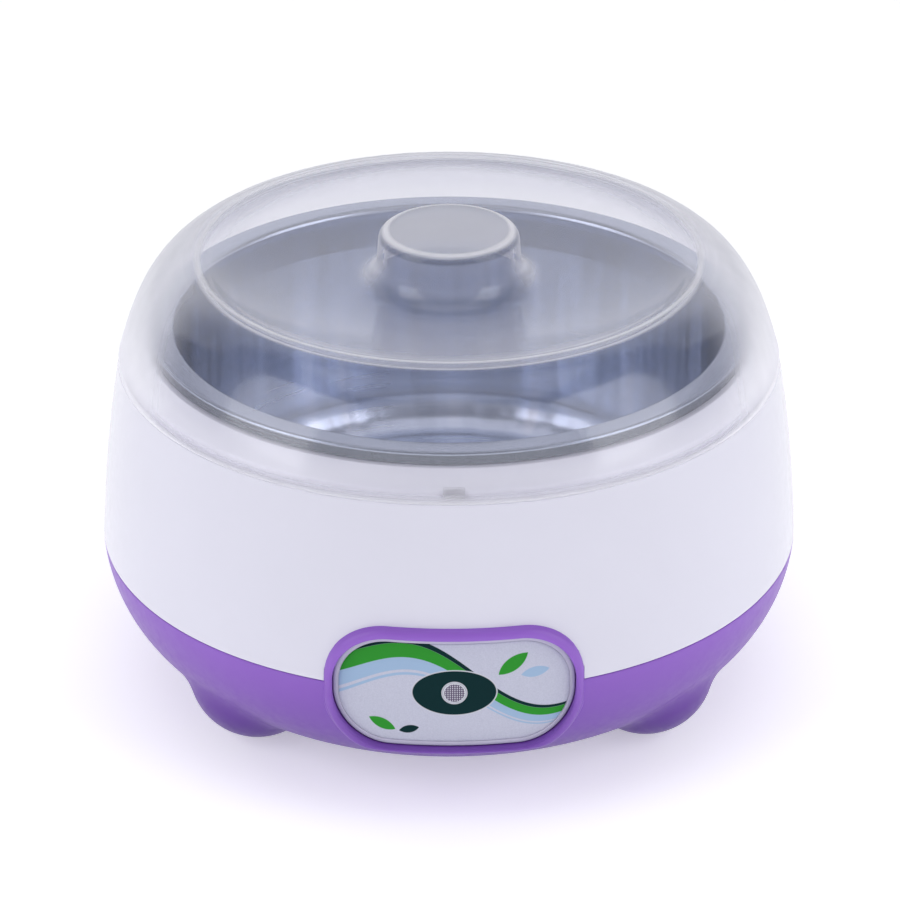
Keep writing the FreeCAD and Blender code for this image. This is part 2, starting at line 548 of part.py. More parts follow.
# ------------------------------------------------------------------ inner wiring
def lead(points, rad):
    """A wire: straight runs joined by tangent arcs, swept with a round section."""
    pts = [V(*p) for p in points]
    edges, here = [], pts[0]
    for i in range(1, len(pts) - 1):
        a, b, c = pts[i - 1], pts[i], pts[i + 1]
        u, w = (a - b).normalize(), (c - b).normalize()
        half = math.acos(max(-1, min(1, u.dot(w)))) / 2
        reach = 0.45 * min((a - b).Length, (c - b).Length)
        bend = reach * math.tan(half)
        p, q = b + u * reach, b + w * reach
        mid = (u + w).normalize()
        centre = b + mid * (bend / math.sin(half))
        edges.append(Part.LineSegment(here, p).toShape())
        edges.append(Part.Arc(p, centre - mid * bend, q).toShape())
        here = q
    edges.append(Part.LineSegment(here, pts[-1]).toShape())
    path = Part.Wire(edges)
    ring = Part.Wire([Part.Circle(pts[0], pts[1] - pts[0], rad).toShape()])
    solid = path.makePipeShell([ring], True, False)
    want = math.pi * rad * rad * path.Length
    if not solid.isValid() or abs(solid.Volume - want) > 0.02 * want:
        raise RuntimeError("a wire's sweep went wrong")
    return solid


wr, iz, pitch = num("wire_rad"), num("inlet_z"), num("inlet_pitch") / 2
sy, tab_z = num("stat_y"), num("heat_low - stat_tall") - 2.5
foil_z, foil2_z = num(z_foil) + 0.15, num(z_foil2) + 0.15
fy, fzz = num("fuse_y"), num("heat_low - sleeve_rad")


def wire_node(label, solids):
    f = doc.addObject("Part::Feature", label)
    f.Shape = solids[0] if len(solids) == 1 else Part.makeCompound(solids)
    f.Placement = FreeCAD.Placement()
    node(label, f)


wire_node("live_wire", [lead([(-pitch, 62.4, iz), (-pitch, 55, iz), (-10, 46, 14.5), (-15, 36, 12.5), (-13, 26, tab_z), (-5.5, sy, tab_z)], wr)])
wire_node("neutral_wire", [lead([(pitch, 62.4, iz), (pitch, 55, iz), (11, 46, 14.5), (19, 36, 13), (24, 25, 13), (24, 14, 15), (20, 6, 19), (14.2, 5, foil2_z)], wr)])
wire_node("heater_wire", [lead([(5.5, sy, tab_z), (12, 19, 11.5), (22, 12, 10.5), (30, 0, 11), (31, -10, 15), (25, fy, 21), (14.2, fy, fzz)], wr)])
wire_node("fuse_wire", [lead([(-14.2, fy, fzz), (-22, fy, 22), (-30, -12, 20), (-31, -3, 20), (-25, 5, 22.4), (-14.2, 5, foil_z - 0.75)], wr)])
cap_z = 11.0
wire_node("led_wires", [
    lead([(s * 5.0, -79.2, 33.5), (s * 5.0, -77.6, 31.5), (s * 6.5, -76.2, 26), (s * 10, -72, 17), (s * 15, -62, 12), (s * 18, -50, cap_z), (s * 20, -38, cap_z)], 0.7)
    for s in (-1, 1)])
node("crimp_caps", group(*[cyl_y("2.4", "12", x, "-37.8", "11") for x in ("-20", "20")]))

# ------------------------------------------------------------------ write the pieces
doc.recompute()
for obj in doc.Objects:
    if any(w in obj.State for w in ("Invalid", "Error")):
        raise RuntimeError("%s failed: %s" % (obj.Name, obj.State))
for label, obj in parts.items():
    s = obj.Shape
    if s.isNull() or not s.isValid() or not s.Solids:
        raise RuntimeError("bad shape: " + label)
    print("%-20s solids %d  volume %9.1f  z %7.2f .. %7.2f" % (label, len(s.Solids), s.Volume, s.BoundBox.ZMin, s.BoundBox.ZMax))
for label, obj in parts.items():
    obj.Shape.exportStep("parts/%s.step" % label)
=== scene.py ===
import math

import bmesh
import bpy
import numpy as np
from mathutils import Matrix, Vector


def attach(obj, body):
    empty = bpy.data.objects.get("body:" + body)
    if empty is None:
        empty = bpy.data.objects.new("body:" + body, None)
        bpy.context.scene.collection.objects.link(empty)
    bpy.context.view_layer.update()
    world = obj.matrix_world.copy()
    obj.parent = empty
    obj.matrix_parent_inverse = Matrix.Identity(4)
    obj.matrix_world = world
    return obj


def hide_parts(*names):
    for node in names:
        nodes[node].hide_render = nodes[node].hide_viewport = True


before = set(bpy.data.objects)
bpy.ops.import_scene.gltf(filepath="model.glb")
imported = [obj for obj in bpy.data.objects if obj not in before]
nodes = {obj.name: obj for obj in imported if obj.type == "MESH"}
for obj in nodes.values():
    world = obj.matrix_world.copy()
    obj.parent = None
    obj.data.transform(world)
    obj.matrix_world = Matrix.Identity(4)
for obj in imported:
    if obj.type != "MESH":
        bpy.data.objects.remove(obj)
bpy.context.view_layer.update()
scene = bpy.context.scene
MM = 0.001

# ------------------------------------------------------------------ mesh helpers


def add_mesh(name, verts, faces, sharp=38.0, recalc=True):
    """A smooth-shaded mesh object from points in millimetres."""
    me = bpy.data.meshes.new(name)
    me.from_pydata([tuple(float(c) * MM for c in v) for v in verts], [], [tuple(int(i) for i in f) for f in faces])
    me.update()
    if recalc:
        bm = bmesh.new()
        bm.from_mesh(me)
        bmesh.ops.remove_doubles(bm, verts=bm.verts, dist=1e-7)
        bmesh.ops.recalc_face_normals(bm, faces=bm.faces)
        bm.to_mesh(me)
        bm.free()
    me.polygons.foreach_set("use_smooth", [True] * len(me.polygons))
    me.set_sharp_from_angle(angle=math.radians(sharp))
    ob = bpy.data.objects.new(name, me)
    scene.collection.objects.link(ob)
    return ob


def lathe(name, loop, segs=240, closed=True, warp=None, sharp=38.0):
    """Turns a profile of (radius, height) points round the vertical axis."""
    verts, rings = [], []
    ang = np.arange(segs) * 2 * math.pi / segs
    for r, z in loop:
        if r < 1e-6:
            rings.append([len(verts)] * segs)
            verts.append((0.0, 0.0, z))
        else:
            start = len(verts)
            for a in ang:
                verts.append((r * math.cos(a), r * math.sin(a), z))
            rings.append(list(range(start, start + segs)))
    if warp is not None:
        verts = warp(np.array(verts, float))
    faces = []
    n = len(rings)
    for i in range(n if closed else n - 1):
        a, b = rings[i], rings[(i + 1) % n]
        if a[0] == a[1] and b[0] == b[1]:
            continue
        for j in range(segs):
            k = (j + 1) % segs
            f = [a[j], a[k], b[k], b[j]]
            f = [v for m, v in enumerate(f) if v not in f[:m]]
            if len(f) > 2:
                faces.append(f)
    return add_mesh(name, verts, faces, sharp)


def arc(p, q, rad, side=1, n=24):
    """Points from p to q on an arc whose centre is on the left (+1) or right (-1)."""
    p, q = np.array(p, float), np.array(q, float)
    d = q - p
    L = np.hypot(*d)
    left = np.array([-d[1], d[0]]) / L
    c = (p + q) / 2 + left * side * math.sqrt(max(rad * rad - L * L / 4, 0))
    a0, a1 = math.atan2(*(p - c)[::-1]), math.atan2(*(q - c)[::-1])
    if side > 0 and a1 < a0:
        a1 += 2 * math.pi
    if side < 0 and a1 > a0:
        a1 -= 2 * math.pi
    return [(c[0] + rad * math.cos(t), c[1] + rad * math.sin(t)) for t in np.linspace(a0, a1, n)]


def rounded(points, n=7):
    """A chain whose corners are rounded: each point is (x, y) or (x, y, radius)."""
    out = []
    for i, p in enumerate(points):
        if len(p) < 3 or p[2] <= 0 or i in (0, len(points) - 1):
            out.append((p[0], p[1]))
            continue
        a, b, c = (np.array(points[k][:2], float) for k in (i - 1, i, i + 1))
        u, w = (a - b) / np.hypot(*(a - b)), (c - b) / np.hypot(*(c - b))
        half = math.acos(max(-1, min(1, float(u @ w)))) / 2
        reach = min(p[2] / math.tan(half), 0.49 * np.hypot(*(a - b)), 0.49 * np.hypot(*(c - b)))
        rad = reach * math.tan(half)
        s, e = b + u * reach, b + w * reach
        side = 1 if (b - a)[0] * (c - b)[1] - (b - a)[1] * (c - b)[0] > 0 else -1
        out += arc(s, e, rad, side, n)
    return out


def smooth_chain(points, step=0.7):
    """A smooth curve through points, with centripetal spacing."""
    P = [np.array(p, float) for p in points]
    P = [2 * P[0] - P[1]] + P + [2 * P[-1] - P[-2]]
    out = []
    for i in range(1, len(P) - 2):
        p0, p1, p2, p3 = P[i - 1:i + 3]
        t0 = 0.0
        t1 = t0 + math.sqrt(np.hypot(*(p1 - p0)))
        t2 = t1 + math.sqrt(np.hypot(*(p2 - p1)))
        t3 = t2 + math.sqrt(np.hypot(*(p3 - p2)))
        n = max(2, int(np.hypot(*(p2 - p1)) / step))
        for t in np.linspace(t1, t2, n, endpoint=False):
            a1 = (t1 - t) / (t1 - t0) * p0 + (t - t0) / (t1 - t0) * p1
            a2 = (t2 - t) / (t2 - t1) * p1 + (t - t1) / (t2 - t1) * p2
            a3 = (t3 - t) / (t3 - t2) * p2 + (t - t2) / (t3 - t2) * p3
            b1 = (t2 - t) / (t2 - t0) * a1 + (t - t0) / (t2 - t0) * a2
            b2 = (t3 - t) / (t3 - t1) * a2 + (t - t1) / (t3 - t1) * a3
            out.append(tuple((t2 - t) / (t2 - t1) * b1 + (t - t1) / (t2 - t1) * b2))
    out.append(tuple(P[-2]))
    return out


def offset(chain, dist):
    """The chain moved to its left by dist."""
    P = np.array(chain, float)
    d = np.gradient(P, axis=0)
    d /= np.hypot(d[:, 0], d[:, 1])[:, None]
    return [tuple(p) for p in P + dist * np.stack([-d[:, 1], d[:, 0]], 1)]


def rrect(hw, hh, r, n_corner=28, n_top=36, n_side=8):
    """A rounded rectangle as points in order; equal counts make loops that match."""
    pts = []
    for cx, cy, a0, m in ((hw - r, hh - r, 0, n_top), (-hw + r, hh - r, 90, n_side), (-hw + r, -hh + r, 180, n_top), (hw - r, -hh + r, 270, n_side)):
        for t in np.linspace(math.radians(a0), math.radians(a0 + 90), n_corner):
            pts.append((cx + r * math.cos(t), cy + r * math.sin(t)))
        nxt = {0: (-hw + r, hh), 90: (-hw, -hh + r), 180: (hw - r, -hh), 270: (hw, hh - r)}[a0]
        p = np.array(pts[-1])
        for t in np.linspace(0, 1, m + 2)[1:-1]:
            pts.append(tuple(p + (np.array(nxt) - p) * t))
    return np.array(pts)


def rrect_dist(x, y, hw, hh, r):
    qx, qy = np.abs(x) - (hw - r), np.abs(y) - (hh - r)
    return np.hypot(np.maximum(qx, 0), np.maximum(qy, 0)) + np.minimum(np.maximum(qx, qy), 0) - r


def loops_mesh(name, loops, closed=True, cap=False, sharp=38.0):
    """Skins a list of matching closed loops of 3-D points."""
    n = len(loops[0])
    verts = [tuple(p) for lp in loops for p in lp]
    faces = []
    m = len(loops)
    for i in range(m if closed else m - 1):
        a, b = i * n, ((i + 1) % m) * n
        for j in range(n):
            k = (j + 1) % n
            faces.append((a + j, a + k, b + k, b + j))
    if cap:
        faces.append(tuple(range(n)))
        faces.append(tuple(range((m - 1) * n, m * n))[::-1])
    return add_mesh(name, verts, faces, sharp)


# ------------------------------------------------------------------ shader helpers


class Mat:
    """A material with short calls for its nodes."""

    def __init__(self, name):
        self.m = bpy.data.materials.new(name)
        self.m.use_nodes = True
        self.t = self.m.node_tree
        self.b = self.t.nodes["Principled BSDF"]
        self.out = self.t.nodes["Material Output"]
        self._xyz = None

    def node(self, kind, **props):
        n = self.t.nodes.new(kind)
        for k, v in props.items():
            setattr(n, k, v)
        return n

    def link(self, a, b):
        self.t.links.new(a, b)

    def put(self, sock, v):
        if isinstance(v, bpy.types.NodeSocket):
            self.link(v, sock)
        elif isinstance(v, (tuple, list)) and len(v) == 3 and sock.type == "RGBA":
            sock.default_value = (*v, 1.0)
        else:
            sock.default_value = v

    def set(self, **vals):
        for k, v in vals.items():
            self.put(self.b.inputs[k.replace("_", " ")], v)
        return self

    def xyz(self):
        if self._xyz is None:
            self._tc = self.node("ShaderNodeTexCoord")
            s = self.node("ShaderNodeSeparateXYZ")
            self.link(self._tc.outputs["Object"], s.inputs[0])
            self._xyz = (s.outputs[0], s.outputs[1], s.outputs[2])
        return self._xyz

    def obj(self):
        self.xyz()
        return self._tc.outputs["Object"]

    def math(self, op, *args, clamp=False):
        n = self.node("ShaderNodeMath", operation=op, use_clamp=clamp)
        for i, a in enumerate(args):
            self.put(n.inputs[i], a)
        return n.outputs[0]

    def combine(self, x, y, z):
        n = self.node("ShaderNodeCombineXYZ")
        for i, a in enumerate((x, y, z)):
            self.put(n.inputs[i], a)
        return n.outputs[0]

    def noise(self, vec, scale, detail=3.0, rough=0.55, distort=0.0):
        n = self.node("ShaderNodeTexNoise")
        self.link(vec, n.inputs["Vector"])
        n.inputs["Scale"].default_value = scale
        n.inputs["Detail"].default_value = detail
        n.inputs["Roughness"].default_value = rough
        n.inputs["Distortion"].default_value = distort
        return n.outputs["Fac"]

    def ramp(self, fac, lo, hi, a, b):
        n = self.node("ShaderNodeMapRange")
        n.clamp = True
        for i, v in enumerate((fac, lo, hi, a, b)):
            self.put(n.inputs[i], v)
        return n.outputs[0]

    def mix(self, fac, a, b):
        n = self.node("ShaderNodeMix", data_type="RGBA")
        self.put(n.inputs["Factor"], fac)
        self.put(n.inputs[6], a)
        self.put(n.inputs[7], b)
        return n.outputs[2]

    def bump(self, height, strength, dist=0.0002):
        n = self.node("ShaderNodeBump")
        n.inputs["Strength"].default_value = strength
        n.inputs["Distance"].default_value = dist
        self.link(height, n.inputs["Height"])
        return n.outputs[0]


def plastic(name, colour, rough=(0.24, 0.32), grain=1800.0, grain_strength=0.05, tint=0.05, coat=0.0, sss=0.0, dark=None, spec=0.5, collar=None):
    """Moulded plastic: a faint tonal drift, an uneven gloss and a fine moulded grain, and, where a collar colour is
    given, painted light that makes the collar at the top, above 86 mm, lighter.
    """
    m = Mat(name)
    drift = m.noise(m.obj(), 28.0, 2.0)
    fine = m.noise(m.obj(), 420.0, 3.0)
    low = tuple(c * (1 - tint) for c in colour) if dark is None else dark
    tone = m.mix(m.ramp(drift, 0.3, 0.7, 0.0, 1.0), low, colour)
    # painted light: the collar, which sits in the cover's shade, is painted in a lighter colour than the rest of the
    # moulding
    if collar:
        tone = m.mix(m.ramp(m.xyz()[2], 0.0858, 0.0864, 0.0, 1.0), tone, collar)
    m.set(Base_Color=tone)
    m.set(Roughness=m.ramp(fine, 0.3, 0.7, *rough))
    m.set(Normal=m.bump(m.noise(m.obj(), grain, 2.0), grain_strength, 0.00005))
    m.set(IOR=1.49, Specular_IOR_Level=spec)
    if coat:
        m.set(Coat_Weight=coat, Coat_Roughness=0.08)
    if sss:
        m.set(Subsurface_Weight=sss, Subsurface_Radius=(0.004, 0.004, 0.0045), Subsurface_Scale=1.0)
    return m.m


def metal(name, colour, rough=(0.25, 0.38), grain=900.0, strength=0.08, tint=0.12):
    """Plain bright metal with a fine worked grain and small stains."""
    m = Mat(name)
    drift = m.noise(m.obj(), 120.0, 3.0)
    m.set(Base_Color=m.mix(m.ramp(drift, 0.35, 0.7, 0.0, 1.0), tuple(c * (1 - tint) for c in colour), colour))
    m.set(Metallic=1.0)
    m.set(Roughness=m.ramp(m.noise(m.obj(), 300.0, 4.0), 0.3, 0.7, *rough))
    m.set(Normal=m.bump(m.noise(m.obj(), grain, 2.0), strength, 0.00005))
    return m.m


def assign(ob, mat):
    ob.data.materials.clear()
    ob.data.materials.append(mat)
    return ob


def piece(ob, body, slot, *stands_for):
    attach(ob, body)
    if stands_for:
        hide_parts(*stands_for)
    return ob


# ------------------------------------------------------------------ finishes
# the collar colour is painted light: the collar is the same white moulding, painted lighter
WHITE = plastic("white_moulding", (0.700, 0.692, 0.792), rough=(0.20, 0.27), grain=2600.0, grain_strength=0.025, tint=0.02, coat=0.25, collar=(0.93, 0.92, 1.0))
LINER = plastic("liner_moulding", (0.80, 0.80, 0.84), rough=(0.36, 0.46), tint=0.03)
def base_plastic_painted_shade(name, colour, low):
    """The base's satin plastic: as plastic, with painted shade that darkens it towards the underside."""
    m = Mat(name)
    x, y, z = m.xyz()
    drift = m.noise(m.obj(), 28.0, 2.0)
    tone = m.mix(m.ramp(drift, 0.3, 0.7, 0.0, 1.0), tuple(c * 0.95 for c in colour), colour)
    # painted shade: below 43 mm the colour runs into the dark low colour towards the underside
    m.set(Base_Color=m.mix(m.ramp(z, 0.006, 0.043, 1.0, 0.0), tone, low))
    m.set(Roughness=m.ramp(m.noise(m.obj(), 420.0, 3.0), 0.3, 0.7, 0.34, 0.44))
    m.set(Normal=m.bump(m.noise(m.obj(), 2200.0, 2.0), 0.06, 0.00005))
    m.set(IOR=1.49, Specular_IOR_Level=0.42)
    return m.m


# the second colour is painted shade for the underside
PURPLE = base_plastic_painted_shade("purple_moulding", (0.280, 0.112, 0.568), (0.080, 0.020, 0.235))
PANEL = plastic("panel_moulding", (0.52, 0.505, 0.635), rough=(0.28, 0.36), grain=2400.0, grain_strength=0.04, tint=0.03)
RUBBER = plastic("pad_rubber", (0.22, 0.22, 0.23), rough=(0.65, 0.8), grain=1600.0, grain_strength=0.25, tint=0.2)
BLACK = plastic("black_moulding", (0.022, 0.022, 0.025), rough=(0.35, 0.5), grain=1400.0, grain_strength=0.12, tint=0.3)
ZINC = metal("zinc_plate", (0.66, 0.66, 0.68))
NICKEL = metal("nickel_plate", (0.74, 0.71, 0.66), rough=(0.15, 0.25))
BRASS = metal("brass_sheet", (0.78, 0.58, 0.26))
SPRING = metal("spring_steel", (0.58, 0.58, 0.60))


def brushed(name, colour, rough, aniso, line_scale=5200.0, line_strength=0.10, flutes_and_painted_streaks=0.0, painted_rim_shade=False):
    """Turned and brushed steel: the lines run round the axis."""
    m = Mat(name)
    x, y, z = m.xyz()
    rad = m.math("SQRT", m.math("ADD", m.math("MULTIPLY", x, x), m.math("MULTIPLY", y, y)))
    ang = m.math("ARCTAN2", y, x)
    # the lines are long round the axis and fine across it
    along = m.combine(m.math("MULTIPLY", m.math("COSINE", ang), 0.0011), m.math("MULTIPLY", m.math("SINE", ang), 0.0011), m.math("SUBTRACT", z, rad))
    lines = m.noise(along, line_scale, 4.0, 0.65)
    broad = m.noise(along, 900.0, 2.0, 0.5)
    stain = m.noise(m.obj(), 26.0, 3.0, 0.6)
    # the drawn wall is faintly fluted up and down
    flute = m.noise(m.combine(m.math("MULTIPLY", m.math("COSINE", ang), 0.07), m.math("MULTIPLY", m.math("SINE", ang), 0.07), m.math("MULTIPLY", z, 0.12)), 60.0, 2.0, 0.5)
    tone = m.mix(m.ramp(m.math("ADD", m.math("MULTIPLY", lines, 0.6), m.math("MULTIPLY", stain, 0.4)), 0.3, 0.7, 0.0, 1.0),
                 tuple(c * 0.94 for c in colour), colour)
    wall = m.math("MULTIPLY", m.ramp(rad, 0.060, 0.069, 0.0, 1.0), m.ramp(z, 0.085, 0.093, 1.0, 0.0))
    if flutes_and_painted_streaks:
        # painted reflections: darker and lighter up-and-down streaks painted on the wall stand in for reflections of
        # the lamps
        painted_streak = m.noise(m.combine(m.math("MULTIPLY", m.math("COSINE", ang), 0.07), m.math("MULTIPLY", m.math("SINE", ang), 0.07), m.math("MULTIPLY", z, 0.06)), 110.0, 3.0, 0.6)
        tone = m.mix(m.math("MULTIPLY", m.ramp(painted_streak, 0.36, 0.60, 0.55, 0.0), wall), tone, tuple(c * 0.55 for c in colour))
        tone = m.mix(m.math("MULTIPLY", m.ramp(painted_streak, 0.56, 0.72, 0.0, 0.8), wall), tone, (0.86, 0.85, 0.88))
    if painted_rim_shade:
        # painted shade: the flange's top is painted darker and the rolled lip below it much darker
        flange_shade = m.ramp(z, 0.0950, 0.0956, 0.0, 1.0)
        tone = m.mix(m.math("MULTIPLY", flange_shade, 0.9), tone, tuple(c * 0.56 for c in colour))
        rolled_lip_shade = m.math("MULTIPLY", m.ramp(rad, 0.0759, 0.0762, 0.0, 1.0), m.ramp(z, 0.0950, 0.0954, 1.0, 0.0))
        tone = m.mix(rolled_lip_shade, tone, tuple(c * 0.24 for c in colour))
    m.set(Base_Color=tone)
    m.set(Metallic=1.0, Anisotropic=aniso)
    m.set(Roughness=m.ramp(m.math("ADD", m.math("MULTIPLY", broad, 0.6), m.math("MULTIPLY", stain, 0.4)), 0.32, 0.68, *rough))
    tan = m.node("ShaderNodeTangent", direction_type="RADIAL", axis="Z")
    m.set(Tangent=tan.outputs[0])
    height = m.math("ADD", m.math("MULTIPLY", lines, 0.00003 * line_strength), m.math("MULTIPLY", m.math("MULTIPLY", flute, wall), 0.0005 * flutes_and_painted_streaks))
    m.set(Normal=m.bump(height, 1.0, 1.0))
    return m.m


STEEL = brushed("brushed_pot", (0.695, 0.750, 0.875), (0.22, 0.28), 0.5, line_scale=6500.0, line_strength=0.006, flutes_and_painted_streaks=4.0, painted_rim_shade=True)
PLATE_AL = brushed("turned_aluminium", (0.74, 0.74, 0.75), (0.28, 0.40), 0.4, line_scale=2600.0, line_strength=0.2)


def clear_plastic(name, milk_low=0.022, milk_high=0.84, tone=(0.965, 0.96, 1.0), tint=(0.978, 0.978, 0.985)):
    """Clear, slightly milky moulded plastic in a thin wall: what lies behind
    shows straight through, each face mirrors more the flatter it is seen, and
    the milkiness grows with the slant of the wall."""
    m = Mat(name)
    x, y, z = m.xyz()
    haze = m.noise(m.obj(), 60.0, 2.0)
    grain = m.bump(m.noise(m.obj(), 240.0, 2.0), 0.012, 0.00004)
    edge = m.node("ShaderNodeLayerWeight")
    edge.inputs["Blend"].default_value = 0.5
    slant = edge.outputs["Facing"]
    clear = m.node("ShaderNodeBsdfTransparent")
    gloss = m.node("ShaderNodeBsdfAnisotropic")
    m.put(gloss.inputs["Color"], (0.98, 0.98, 1.0))
    rad = m.math("SQRT", m.math("ADD", m.math("MULTIPLY", x, x), m.math("MULTIPLY", y, y)))
    off_crest = m.math("ABSOLUTE", m.math("SUBTRACT", rad, 0.0637))
    # painted shade: dark lines in what shows through, at the knob's top rim and round its foot, stand in for the dark
    # edges that bent light gives there
    painted_knob_rim_shade = m.math("MULTIPLY", m.ramp(m.math("ABSOLUTE", m.math("SUBTRACT", z, 0.1185)), 0.0003, 0.0009, 0.70, 0.0), m.ramp(rad, 0.0164, 0.0168, 0.0, 1.0))
    painted_knob_foot_shade = m.ramp(m.math("ABSOLUTE", m.math("SUBTRACT", rad, 0.0200)), 0.0004, 0.0014, 0.26, 0.0)
    thin = m.mix(m.ramp(z, 0.092, 0.100, 0.0, 1.0), tint, (0.930, 0.930, 0.955))
    m.put(clear.inputs["Color"], m.mix(m.math("ADD", painted_knob_rim_shade, painted_knob_foot_shade), thin, (0.26, 0.30, 0.40)))
    m.put(gloss.inputs["Roughness"], m.ramp(off_crest, 0.001, 0.004, 0.05, 0.15))
    m.link(grain, gloss.inputs["Normal"])
    faces = m.node("ShaderNodeMixShader")
    m.link(m.math("ADD", 0.035, m.math("MULTIPLY", m.math("POWER", slant, 5.0), 0.80)), faces.inputs[0])
    m.link(clear.outputs[0], faces.inputs[1])
    m.link(gloss.outputs[0], faces.inputs[2])
    m.set(Base_Color=tone, Roughness=m.ramp(haze, 0.3, 0.7, 0.30, 0.36), Specular_IOR_Level=0.3, IOR=1.46, Normal=grain)
    glow = m.node("ShaderNodeBsdfTranslucent")
    m.put(glow.inputs["Color"], tone)
    milk = m.node("ShaderNodeMixShader")
    milk.inputs[0].default_value = 0.36
    m.link(m.b.outputs[0], milk.inputs[1])
    m.link(glow.outputs[0], milk.inputs[2])
    on_side = m.ramp(rad, 0.0625, 0.0675, 0.0, 1.0)
    dish = m.math("ADD", milk_low + 0.042, m.math("MULTIPLY", m.math("POWER", slant, 4.0), 0.50))
    wall = m.node("ShaderNodeMapRange", interpolation_type="SMOOTHSTEP")
    for i, v in enumerate((slant, 0.38, 0.80, milk_low, milk_high)):
        m.put(wall.inputs[i], v)
    side = wall.outputs[0]
    share = m.math("ADD", m.math("MULTIPLY", dish, m.math("SUBTRACT", 1.0, on_side)), m.math("MULTIPLY", side, on_side))
    share = m.math("MULTIPLY", share, m.ramp(haze, 0.3, 0.7, 0.92, 1.08))
    frost = m.math("ADD", m.ramp(z, 0.1188, 0.1196, 0.0, 0.16), m.math("MULTIPLY", m.ramp(rad, 0.019, 0.022, 0.06, 0.0), m.ramp(z, 0.104, 0.108, 0.0, 1.0)))
    hem = m.ramp(z, 0.0864, 0.0880, 0.58, 0.0)
    body = m.node("ShaderNodeMixShader")
    # painted highlights: extra milkiness draws a bright line round the crest, round the knob's top edge and round the
    # knob's foot
    crest = m.math("MULTIPLY", m.ramp(off_crest, 0.0002, 0.0011, 1.0, 0.0), m.ramp(slant, 0.46, 0.72, 0.08, 0.86))
    painted_brim_highlight = m.math("MULTIPLY", m.ramp(m.math("ABSOLUTE", m.math("SUBTRACT", rad, 0.0160)), 0.0003, 0.0011, 0.66, 0.0), m.ramp(z, 0.1180, 0.1186, 0.0, 1.0))
    painted_foot_highlight = m.math("MULTIPLY", m.ramp(m.math("ABSOLUTE", m.math("SUBTRACT", rad, 0.0205)), 0.0004, 0.0036, 0.24, 0.0), m.ramp(slant, 0.42, 0.82, 0.0, 1.0))
    crest = m.math("ADD", m.math("ADD", crest, painted_brim_highlight), painted_foot_highlight)
    m.link(m.math("ADD", share, m.math("ADD", crest, m.math("MAXIMUM", frost, hem))), body.inputs[0])
    m.link(faces.outputs[0], body.inputs[1])
    m.link(milk.outputs[0], body.inputs[2])
    m.link(body.outputs[0], m.out.inputs["Surface"])
    return m.m


CLEAR = clear_plastic("clear_moulding")
KEY = clear_plastic("clear_key", 0.004, 0.20, (1.0, 1.0, 1.0), (1.0, 1.0, 1.0))

# ------------------------------------------------------------------ outer form
BOWL_R, BOWL_Z, BOWL_RAD = 53.274, 40.33, 36.8
SEAM_Z, MAX_R = 38.0, 90.0
PANEL_Z = 37.1
RING_IN = (29.55, 15.10, 13.95)
RING_OUT = (31.7, 17.7, 15.6)
RING_MID = (30.6, 16.4, 14.8)


def bowl_r(z):
    z = np.asarray(z, float)
    return BOWL_R + np.sqrt(np.maximum(BOWL_RAD ** 2 - (z - BOWL_Z) ** 2, 0))


SHELL_SIDE = arc((MAX_R, SEAM_Z), (84.4, 86.0), 365.3, 1, 60)
_sr, _sz = np.array([p[0] for p in SHELL_SIDE]), np.array([p[1] for p in SHELL_SIDE])


def surface_r(z):
    z = np.asarray(z, float)
    return np.where(z < SEAM_Z, bowl_r(np.maximum(z, 6.0)), np.interp(z, _sz, _sr))


def panel_pocket(v, depth):
    """Sets the wall back behind the panel plate, inside the frame's outline."""
    x, y, z = v[:, 0], v[:, 1], v[:, 2]
    r = np.hypot(x, y)
    inside = (y < 0) & (rrect_dist(x, z - PANEL_Z, *RING_MID) < 0) & (r > depth)
    k = np.where(inside, depth / np.maximum(r, 1e-6), 1.0)
    return np.stack([x * k, y * k, z], 1)


# ------------------------------------------------------------------ casing
def shell_loop():
    side = arc((MAX_R, SEAM_Z + 0.45), (84.55, 85.2), 365.3, 1, 44)
    top = rounded([(84.55, 85.2), (84.42, 86.0, 0.25), (82.2, 86.0, 0.35), (81.4, 88.2, 1.6), (77.4, 92.3, 0.6), (75.3, 92.3, 0.4),
                   (75.3, 95.0, 0.5), (72.2, 95.0, 0.4), (72.2, 93.0), (73.8, 93.0), (73.8, 90.5), (76.5, 90.5), (79.6, 86.8), (82.2, 83.6)], 6)
    inner = arc((82.2, 83.6), (87.8, SEAM_Z + 0.06), 363.0, -1, 44)
    foot = rounded([(87.8, SEAM_Z + 0.06), (MAX_R - 0.02, SEAM_Z + 0.06, 0.35), (MAX_R, SEAM_Z + 0.45)], 5)
    return side[:-1] + top[:-1] + inner[:-1] + foot[:-1]


def rib_notch(v):
    """Sets the collar back at the front, in the shallow notch that takes the
    cover's rib."""
    x, y, z = v[:, 0], v[:, 1], v[:, 2]
    r = np.hypot(x, y)
    inside = (y < 0) & (np.abs(x) < 3.1) & (z > 85.99) & (z < 92.0) & (r > 80.9) & (r < 82.7)
    k = np.where(inside, 80.9 / np.maximum(r, 1e-6), 1.0)
    return np.stack([x * k, y * k, z], 1)


def shell_warp(v):
    far_out = np.hypot(v[:, 0], v[:, 1]) > 86.9
    return rib_notch(np.where(far_out[:, None], panel_pocket(v, 86.2), panel_pocket(v, 84.4)))


shell = lathe("upper_shell_skin", shell_loop(), 420, warp=shell_warp)
assign(shell, WHITE)
piece(shell, "base", "white_shell", "upper_shell")


# ------------------------------------------------------------------ base
def smin(a, b, k):
    h = np.clip(0.5 + 0.5 * (b - a) / k, 0, 1)
    return b * (1 - h) + a * h - k * h * (1 - h)


def smax(a, b, k):
    return -smin(-a, -b, k)


FOOT_X, FOOT_Y, FOOT_Z, FOOT_R = 49.3, 42.7, 17.2, 17.4


